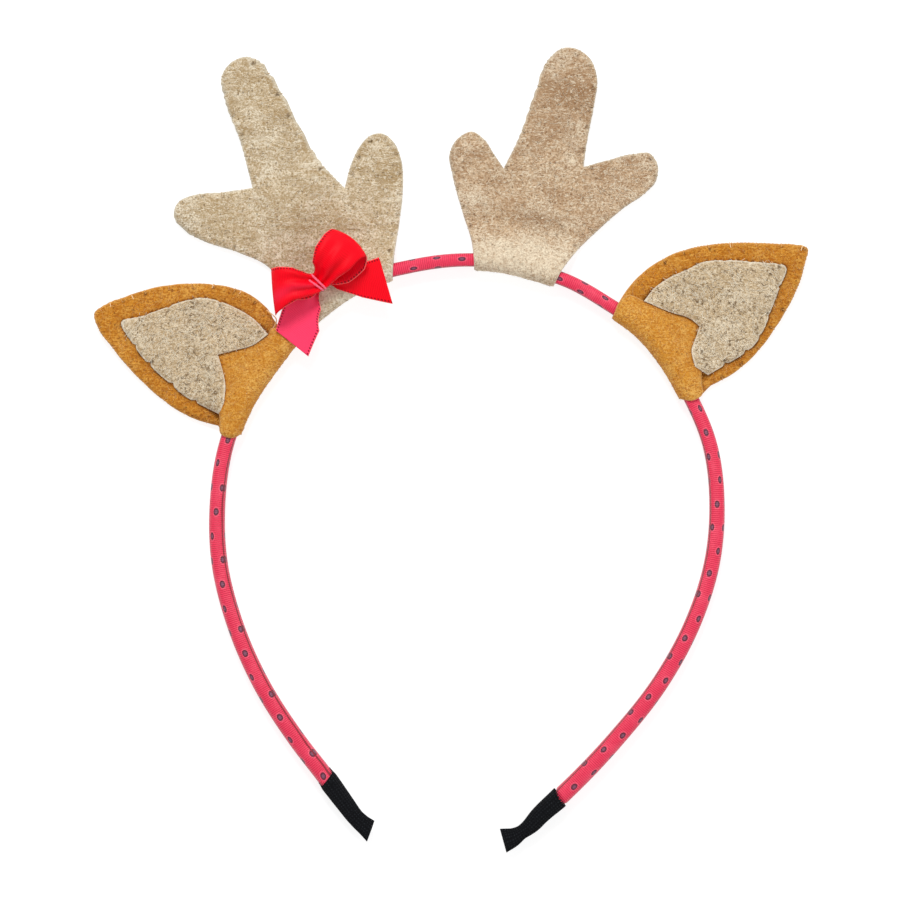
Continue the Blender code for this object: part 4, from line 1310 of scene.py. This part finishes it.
def make_band():
    """Ribbon wound once round the hoop, whose free edge lies on the front near the inner side."""
    start = CAP_LENGTH - UNDER_CAP["left"]
    end = LINE.length - CAP_LENGTH + UNDER_CAP["right"]
    bm, share_along, turn_share = grid_of(*BAND_GRID)
    along = start + share_along * (end - start)
    station = along / LINE.length
    lap_turn = read_table(LAP, station, 1)
    lap_turn += LAP_WAVER * np.array([noise.noise(Vector((a / LAP_WAVE, 0, 0))) for a in along])
    turned = lap_turn - turn_share * RIBBON_TURN
    across, up = oval(np.radians(turned))
    lift = RIBBON * (EDGE_STANDS * ease(1 - turn_share / EDGE_SHARE) + RIBBON_STANDS)
    lift *= ease((LINE.length - along) / CAP_LENGTH)
    mouth = LINE.length - CAP_LENGTH + math.tan(math.radians(RIGHT_MOUTH)) * BAND_WIDTH / 2 * across
    under_cap = ease((along - mouth) / SLIM_RUN + 1)
    share = slimness(along)
    half_width = BAND_WIDTH / 2 * (share - NARROWED["across"] * under_cap) - RIBBON
    half_depth = BAND_DEPTH / 2 * (share - NARROWED["up"] * under_cap) - RIBBON
    lean = math.tan(math.radians(LEFT_MOUTH))
    slanted = along + lean * half_width * across * ease(2 - (along - start) / LEAN_RUN)
    shape_to(bm, LINE.place(slanted, (half_width + lift) * across), (half_depth + lift) * up)
    obj = piece("band_ribbon", mesh_from("band_ribbon", bm), RIBBED_RIBBON, ["band"])
    girth = MEAN_GIRTH * SQUARE_GIRTH
    slip_along, slip_across = (read_table(DOT_SLIP, station, column) for column in (1, 2))
    around = (90 - turned) / 360 * girth * MM - slip_across
    set_attribute(obj, "weave", np.stack([along * MM, around, along * MM - slip_along], axis=1))
    # How far past the free edge each point is, for the shadow painted beside it.
    set_attribute(obj, "past_edge", 360 - turn_share * RIBBON_TURN)
    # How far round towards its sides each point is, for the shade painted there.
    set_attribute(obj, "side", np.abs(across))
    add_wall(obj, RIBBON * 0.6, -1)


def make_cap(side):
    """A knitted sleeve with ribs along it, over the ribbon's end and pressed flat where it is cut."""
    right = side == "right"
    bm, reach, turn_share = grid_of(*CAP_GRID)
    turn = turn_share * 2 * math.pi
    width, depth, slant = (read_table(CAP_SECTIONS, reach, column) for column in (1 + right, 3, 4 + right))
    tucked = 0 if right else MOUTH_TUCK * ease(1 - reach / MOUTH_TUCK)
    bend = BEND_SHARE * hump(reach, 0.70, 0.15) if right else 0
    slant = slant + MOUTH_TURN[side] * ease(1 - reach / 0.3)
    across, up = oval(turn)
    rib = RIB * np.cos(turn * RIBS)
    out = ((width - tucked - bend) * BAND_WIDTH / 2 + rib) * across - bend * BAND_WIDTH / 2
    height = ((depth - tucked) * BAND_DEPTH / 2 + rib) * up
    tooth = TOOTH * np.cos(turn * RIBS) * ease(1 - reach / 0.08)
    from_end = (1 - reach) * CAP_LENGTH + tooth
    along = (LINE.length - from_end if right else from_end) + np.tan(np.radians(slant)) * out
    shape_to(bm, LINE.place(along, out), height)
    weave = {vert: (share * CAP_LENGTH * MM, RIBS * around, 0) for vert, share, around
             in zip(bm.verts, reach, turn_share)}
    bmesh.ops.remove_doubles(bm, verts=bm.verts, dist=1e-7)
    boundary = [edge for edge in bm.edges if edge.is_boundary]
    far_end = [edge for edge in boundary if all(weave[vert][0] > CAP_LENGTH * MM / 2 for vert in edge.verts)]
    bmesh.ops.edgeloop_fill(bm, edges=far_end)
    bmesh.ops.recalc_face_normals(bm, faces=bm.faces[:])
    rows = [weave[vert] for vert in bm.verts]
    name = f"cap_{side}_elastic"
    obj = piece(name, mesh_from(name, bm), BLACK_ELASTIC, [f"cap_{side}"])
    set_attribute(obj, "weave", rows)
    add_wall(obj, ELASTIC, -1)


class Bow:
    """The bow's own directions, and the heights at which its layers lie."""

    def __init__(self):
        along = BOW_STATION * LINE.length
        ridge = Wrap(FELT_PLACES["ear_left"][0] * LINE.length, 0, 1).half_depth + WALL / 2
        self.origin = LINE.place(along, BOW_OUT)
        self.turn = angle_of(LINE.tangent(along)) + BOW_TURN
        self.resting = ridge + RIBBON
        self.tails = ridge + TAILS_UP
        self.loops = self.tails + LOOPS_UP

    def row(self, hand, reach, width, aim, slant=0.0, bulge=0.0):
        """Plan points across the ribbon, this far from the knot on the right (1) or the left (-1)."""
        along = unit(aim)
        across = np.array([-along[1], along[0]])
        aside = ACROSS * width * RIBBON_WIDTH / 2
        ahead = reach + aside * math.tan(math.radians(slant)) + bulge * (1 - ACROSS**2)
        local = ahead[:, None] * along + aside[:, None] * across
        return self.origin + hand * local[:, :1] * unit(self.turn) + local[:, 1:] * unit(self.turn + 90)


def ribbon_row(plan, height, distance, woven, rosy, fold):
    """One row across a ribbon: its place, its weave in millimetres, its painted light, and the shade painted
    in its folds.
    """
    columns = [height, distance * MM, woven * RIBBON_WIDTH / 2 * MM, 0.0, rosy, fold]
    return np.column_stack([plan, *[np.broadcast_to(values, len(ACROSS)) for values in columns]])


def ribbon_sheet(name, rows, node):
    """A strip of satin through rows of points."""
    bm = bmesh.new()
    bmesh.ops.create_grid(bm, x_segments=len(ACROSS) - 1, y_segments=len(rows) - 1, size=1)
    order = sorted(bm.verts, key=lambda vert: (round(vert.co.y, 5), round(vert.co.x, 5)))
    place = {vert: i for i, vert in enumerate(order)}
    values = np.vstack(rows)[[place[vert] for vert in bm.verts]]
    shape_to(bm, values[:, :2], values[:, 2])
    obj = piece(name, mesh_from(name, bm), RED_SATIN, [node])
    set_attribute(obj, "weave", values[:, 3:6])
    set_attribute(obj, "rosy", values[:, 6])
    set_attribute(obj, "fold", values[:, 7])
    add_wall(obj, RIBBON)


def make_bow_loop(hand, side):
    """One loop of the bow, with the soft folds that run out from the knot."""
    length, bulge = LOOPS[hand]
    table = np.array(LOOP_SECTIONS) * (length, LOOP_HEIGHT, 1, 1, 1, 1)
    path = smooth(table[:, :2], LOOP_STEP)
    run = run_along(path)
    at_rows = [run[np.linalg.norm(path[1:-1] - row[:2], axis=1).argmin() + 1] for row in table[1:-1]]
    at_rows = [0, *at_rows, run[-1]]
    turn_over = run[path[:, 0].argmax()]
    column = 2 if hand > 0 else 4
    upper_light = 0.35 if hand < 0 else 0.0
    rows = []
    for (reach, rise), distance in zip(path, run):
        width, aim = (np.interp(distance, at_rows, table[:, i]) for i in (column, column + 1))
        share = max(0.0, reach / length)
        plan = BOW.row(hand, reach, width, aim, LOOP_SLANT[hand] * share, bulge * share**2)
        upper = distance < turn_over
        near = 1 - ease((reach - 0.3 * length) / (0.7 * length))
        pleat = LOOP_PLEAT * near * np.cos(ACROSS * math.pi * 2.6 + 0.6)
        ridge = (LOOP_RIDGE if upper else 0.0) * (0.35 + 0.65 * near) * (1 - ((ACROSS - 0.25) / 1.25) ** 2)
        height = BOW.loops + rise * SETTLED + ridge * min(1.0, reach / (0.3 * length)) + pleat
        turned_under = 0.82 if distance < 0.96 * turn_over else 1.0
        woven = np.where(ACROSS < 0, ACROSS * turned_under, ACROSS)
        # Painted light: the left loop's upper layer is painted lighter pink across its middle, and each lower
        # layer a little, to lift its shade.
        rosy = upper_light * hump(ACROSS, -0.3, 0.4) if upper else 0.15
        # Painted shade: in the creases that run out from the knot, and along the upper layer's turned-under
        # lower edge.
        crease = hump(ACROSS, -0.42, 0.20) + 0.7 * hump(ACROSS, 0.62, 0.16)
        brim_shade = 0.8 * hump(ACROSS, -1, 0.10) if upper else 0.0
        rows.append(ribbon_row(plan, height, distance, woven, rosy, crease * near + brim_shade))
    ribbon_sheet(f"bow_loop_{side}", rows, "bow_loops")


def make_bow_tails():
    """One strip from the left tail's cut end under the knot to the right tail's."""
    steps = np.linspace(0, 1, TAIL_STEPS)
    rows = []
    for hand, column, shares in ((-1, 3, steps[::-1]), (1, 1, steps[1:])):
        for share in shares:
            width, aim = (read_table(TAIL_SECTIONS, share, i) for i in (column, column + 1))
            plan = BOW.row(hand, share * TAIL_LENGTH, width, -aim, -TAIL_SLANT * share)
            height = BOW.resting + (BOW.tails - BOW.resting) * (1 + math.cos(math.pi * share)) / 2
            near = 1 - ease(share / 0.6)
            pleat = TAIL_PLEAT * near * np.cos(ACROSS * math.pi * 2.2 + 0.4)
            pleat += TAIL_WAVE * share * np.cos(ACROSS * 2.4)
            # Painted light: the left tail is painted a lighter pink, which also lifts the shadow of the loop
            # above it.
            rosy = ease(share / 0.25) if hand < 0 else 0.0
            # Painted shade in the crease beside the knot.
            fold = near * hump(ACROSS, 0.3, 0.25)
            rows.append(ribbon_row(plan, height + pleat, hand * share * TAIL_LENGTH, ACROSS, rosy, fold))
    ribbon_sheet("bow_tails_ribbon", rows, "bow_tails")


def make_bow_knot():
    """Two strands of pink thread round the middle, which spread apart towards the front's lower end."""
    pinch = LOOP_SECTIONS[0][2] * RIBBON_WIDTH / 2 + KNOT_BESIDE
    bottom = BOW.tails - KNOT_UNDER
    top = BOW.loops + LOOP_SECTIONS[0][1] * LOOP_HEIGHT * SETTLED + KNOT_OVER
    paths = []
    for strand in (-1, 1):
        path = []
        for turn in np.linspace(0, 2 * math.pi, KNOT_STEPS + 1):
            across, up = (math.copysign(abs(v) ** 0.6, v) for v in (math.cos(turn), math.sin(turn)))
            spread = 0.36 * strand * (0.75 + 0.25 * across)
            along = (spread - 0.40 * across - 0.28) * KNOT_WIDTH
            plan = along * unit(BOW.turn) + across * pinch * unit(BOW.turn + 90)
            path.append((*(BOW.origin + plan), (top + bottom) / 2 + up * (top - bottom) / 2))
        paths.append(path)
    obj = threads("bow_knot_thread", paths, KNOT_STRAND, PINK_THREAD, sides=2)
    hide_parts("bow_knot")


def make_loose_thread():
    """A stitch's end that stands off the left ear beside the bow."""
    place = Place("ear_left", EAR_LENGTH, EAR_WIDTH)
    path = [(*place.point(*row), BACK + 2 * PITCH + LOOSE_UP) for row in smooth(LOOSE_END, 0.01)]
    threads("ear_left_thread_end", [path], LOOSE_THREAD, PALE_THREAD)


def make_floor():
    """A pale floor that glows, so that it shows white."""
    bm = bmesh.new()
    bmesh.ops.create_grid(bm, x_segments=1, y_segments=1, size=3)
    floor = put("floor", mesh_from("floor", bm))
    floor.location.z = -0.0001
    plain = bpy.data.materials.new("pale floor")
    plain.use_nodes = True
    sockets = plain.node_tree.nodes["Principled BSDF"].inputs
    sockets["Base Color"].default_value = (*[FLOOR_GREY] * 3, 1)
    sockets["Roughness"].default_value = 0.9
    sockets["Emission Color"].default_value = (1, 1, 1, 1)
    sockets["Emission Strength"].default_value = FLOOR_GLOW
    floor.data.materials.append(plain)


def make_light():
    """Soft light from all round and two large lamps that face the headband."""
    world = bpy.data.worlds.new("studio")
    world.use_nodes = True
    sockets = world.node_tree.nodes["Background"].inputs
    sockets["Color"].default_value = (1, 1, 1, 1)
    sockets["Strength"].default_value = WORLD_LIGHT
    bpy.context.scene.world = world
    for name, place, size, power in LAMPS:
        light = bpy.data.lights.new(name, "AREA")
        light.shape = "DISK"
        light.size = size
        light.energy = power
        lamp = put(name, light)
        lamp.location = place
        lamp.rotation_euler = (-Vector(place)).to_track_quat("-Z", "Y").to_euler()


def make_camera():
    """A long lens straight above."""
    eye = bpy.data.cameras.new("camera")
    eye.sensor_width = SENSOR
    eye.lens = LENS
    camera = put("camera", eye)
    camera.location = (*VIEW_MIDDLE, VIEW_WIDTH * LENS / SENSOR + VIEW_LEVEL)
    bpy.context.scene.camera = camera
    bpy.context.scene.view_settings.view_transform = "Standard"


MEAN_GIRTH = math.pi * (BAND_WIDTH + BAND_DEPTH) / 2
SEWN_HEIGHTS = (BACK - WALL / 3, BACK + PITCH + WALL / 3)
ACROSS = np.linspace(-1, 1, 29)  # from one woven edge of the bow's ribbon to the other
BOW = Bow()

BROWN_FELT = felt_finish(
    "golden brown felt", base=(208, 139, 44), pale=(230, 174, 84), deep=(172, 98, 16),
    stain_and_shading=(146, 78, 10), speck_and_shade=(90, 46, 8), edge=(222, 164, 92), specks=0.38)
# The back leaf's felt, which shows as the flap over the band: the same brown felt with fewer specks and
# softer patches, painted lighter as the flap arches up towards the light.
FLAP_FELT = felt_finish(
    "golden brown felt, brushed, painted lighter", base=(212, 148, 54), pale=(234, 184, 98), deep=(186, 114, 24),
    stain_and_shading=(168, 94, 14), speck_and_shade=(120, 66, 18), edge=(226, 170, 100), specks=0.18, patchy=0.2)
OATMEAL_FELT = felt_finish(
    "oatmeal wool felt", base=(213, 191, 157), pale=(240, 227, 202), deep=(168, 141, 103),
    stain_and_shading=(146, 118, 80), speck_and_shade=(88, 68, 44), edge=(240, 230, 210), specks=0.50)
ANTLER_FELT_LEFT = felt_finish(
    "oatmeal wool felt, olive", base=(220, 202, 172), pale=(242, 232, 210), deep=(168, 142, 102),
    stain_and_shading=(152, 120, 70), speck_and_shade=(88, 66, 36), edge=(222, 212, 190), specks=0.55, patchy=0.42, banded=0.40)
ANTLER_FELT_RIGHT = felt_finish(
    "oatmeal wool felt, rosy", base=(210, 182, 149), pale=(238, 224, 198), deep=(160, 126, 92),
    stain_and_shading=(146, 104, 66), speck_and_shade=(92, 58, 30), edge=(216, 202, 178), specks=0.55, patchy=0.42, banded=0.15)
BROWN_FIBRE = fibre_finish("brown wool fibres", (232, 178, 100), (176, 104, 30))
OATMEAL_FIBRE = fibre_finish("oatmeal wool fibres", (240, 230, 208), (126, 98, 62))
RIBBED_RIBBON = grosgrain_finish()
RED_SATIN = satin_finish()
BLACK_ELASTIC = elastic_finish()
PALE_THREAD = thread_finish("pale thread", (230, 184, 124), (244, 208, 160))
BROWN_THREAD = thread_finish("golden brown thread", (196, 132, 54), (222, 166, 88))
GREY_THREAD = thread_finish("grey thread", (172, 144, 104), (204, 180, 142))
PINK_THREAD = thread_finish("pink thread", (238, 70, 110), (255, 110, 142))

make_floor()
make_light()
make_camera()
make_band()
for side in ("left", "right"):
    make_cap(side)
    make_ear(side)
make_antler("left", ANTLER_LEFT, ANTLER_LEFT_HEIGHT, ANTLER_LEFT_WIDTH, 31, ANTLER_FELT_LEFT)
make_antler("right", ANTLER_RIGHT, ANTLER_RIGHT_HEIGHT, ANTLER_RIGHT_WIDTH, 32, ANTLER_FELT_RIGHT)
make_bow_tails()
make_bow_loop(1, "right")
make_bow_loop(-1, "left")
make_bow_knot()
make_loose_thread()
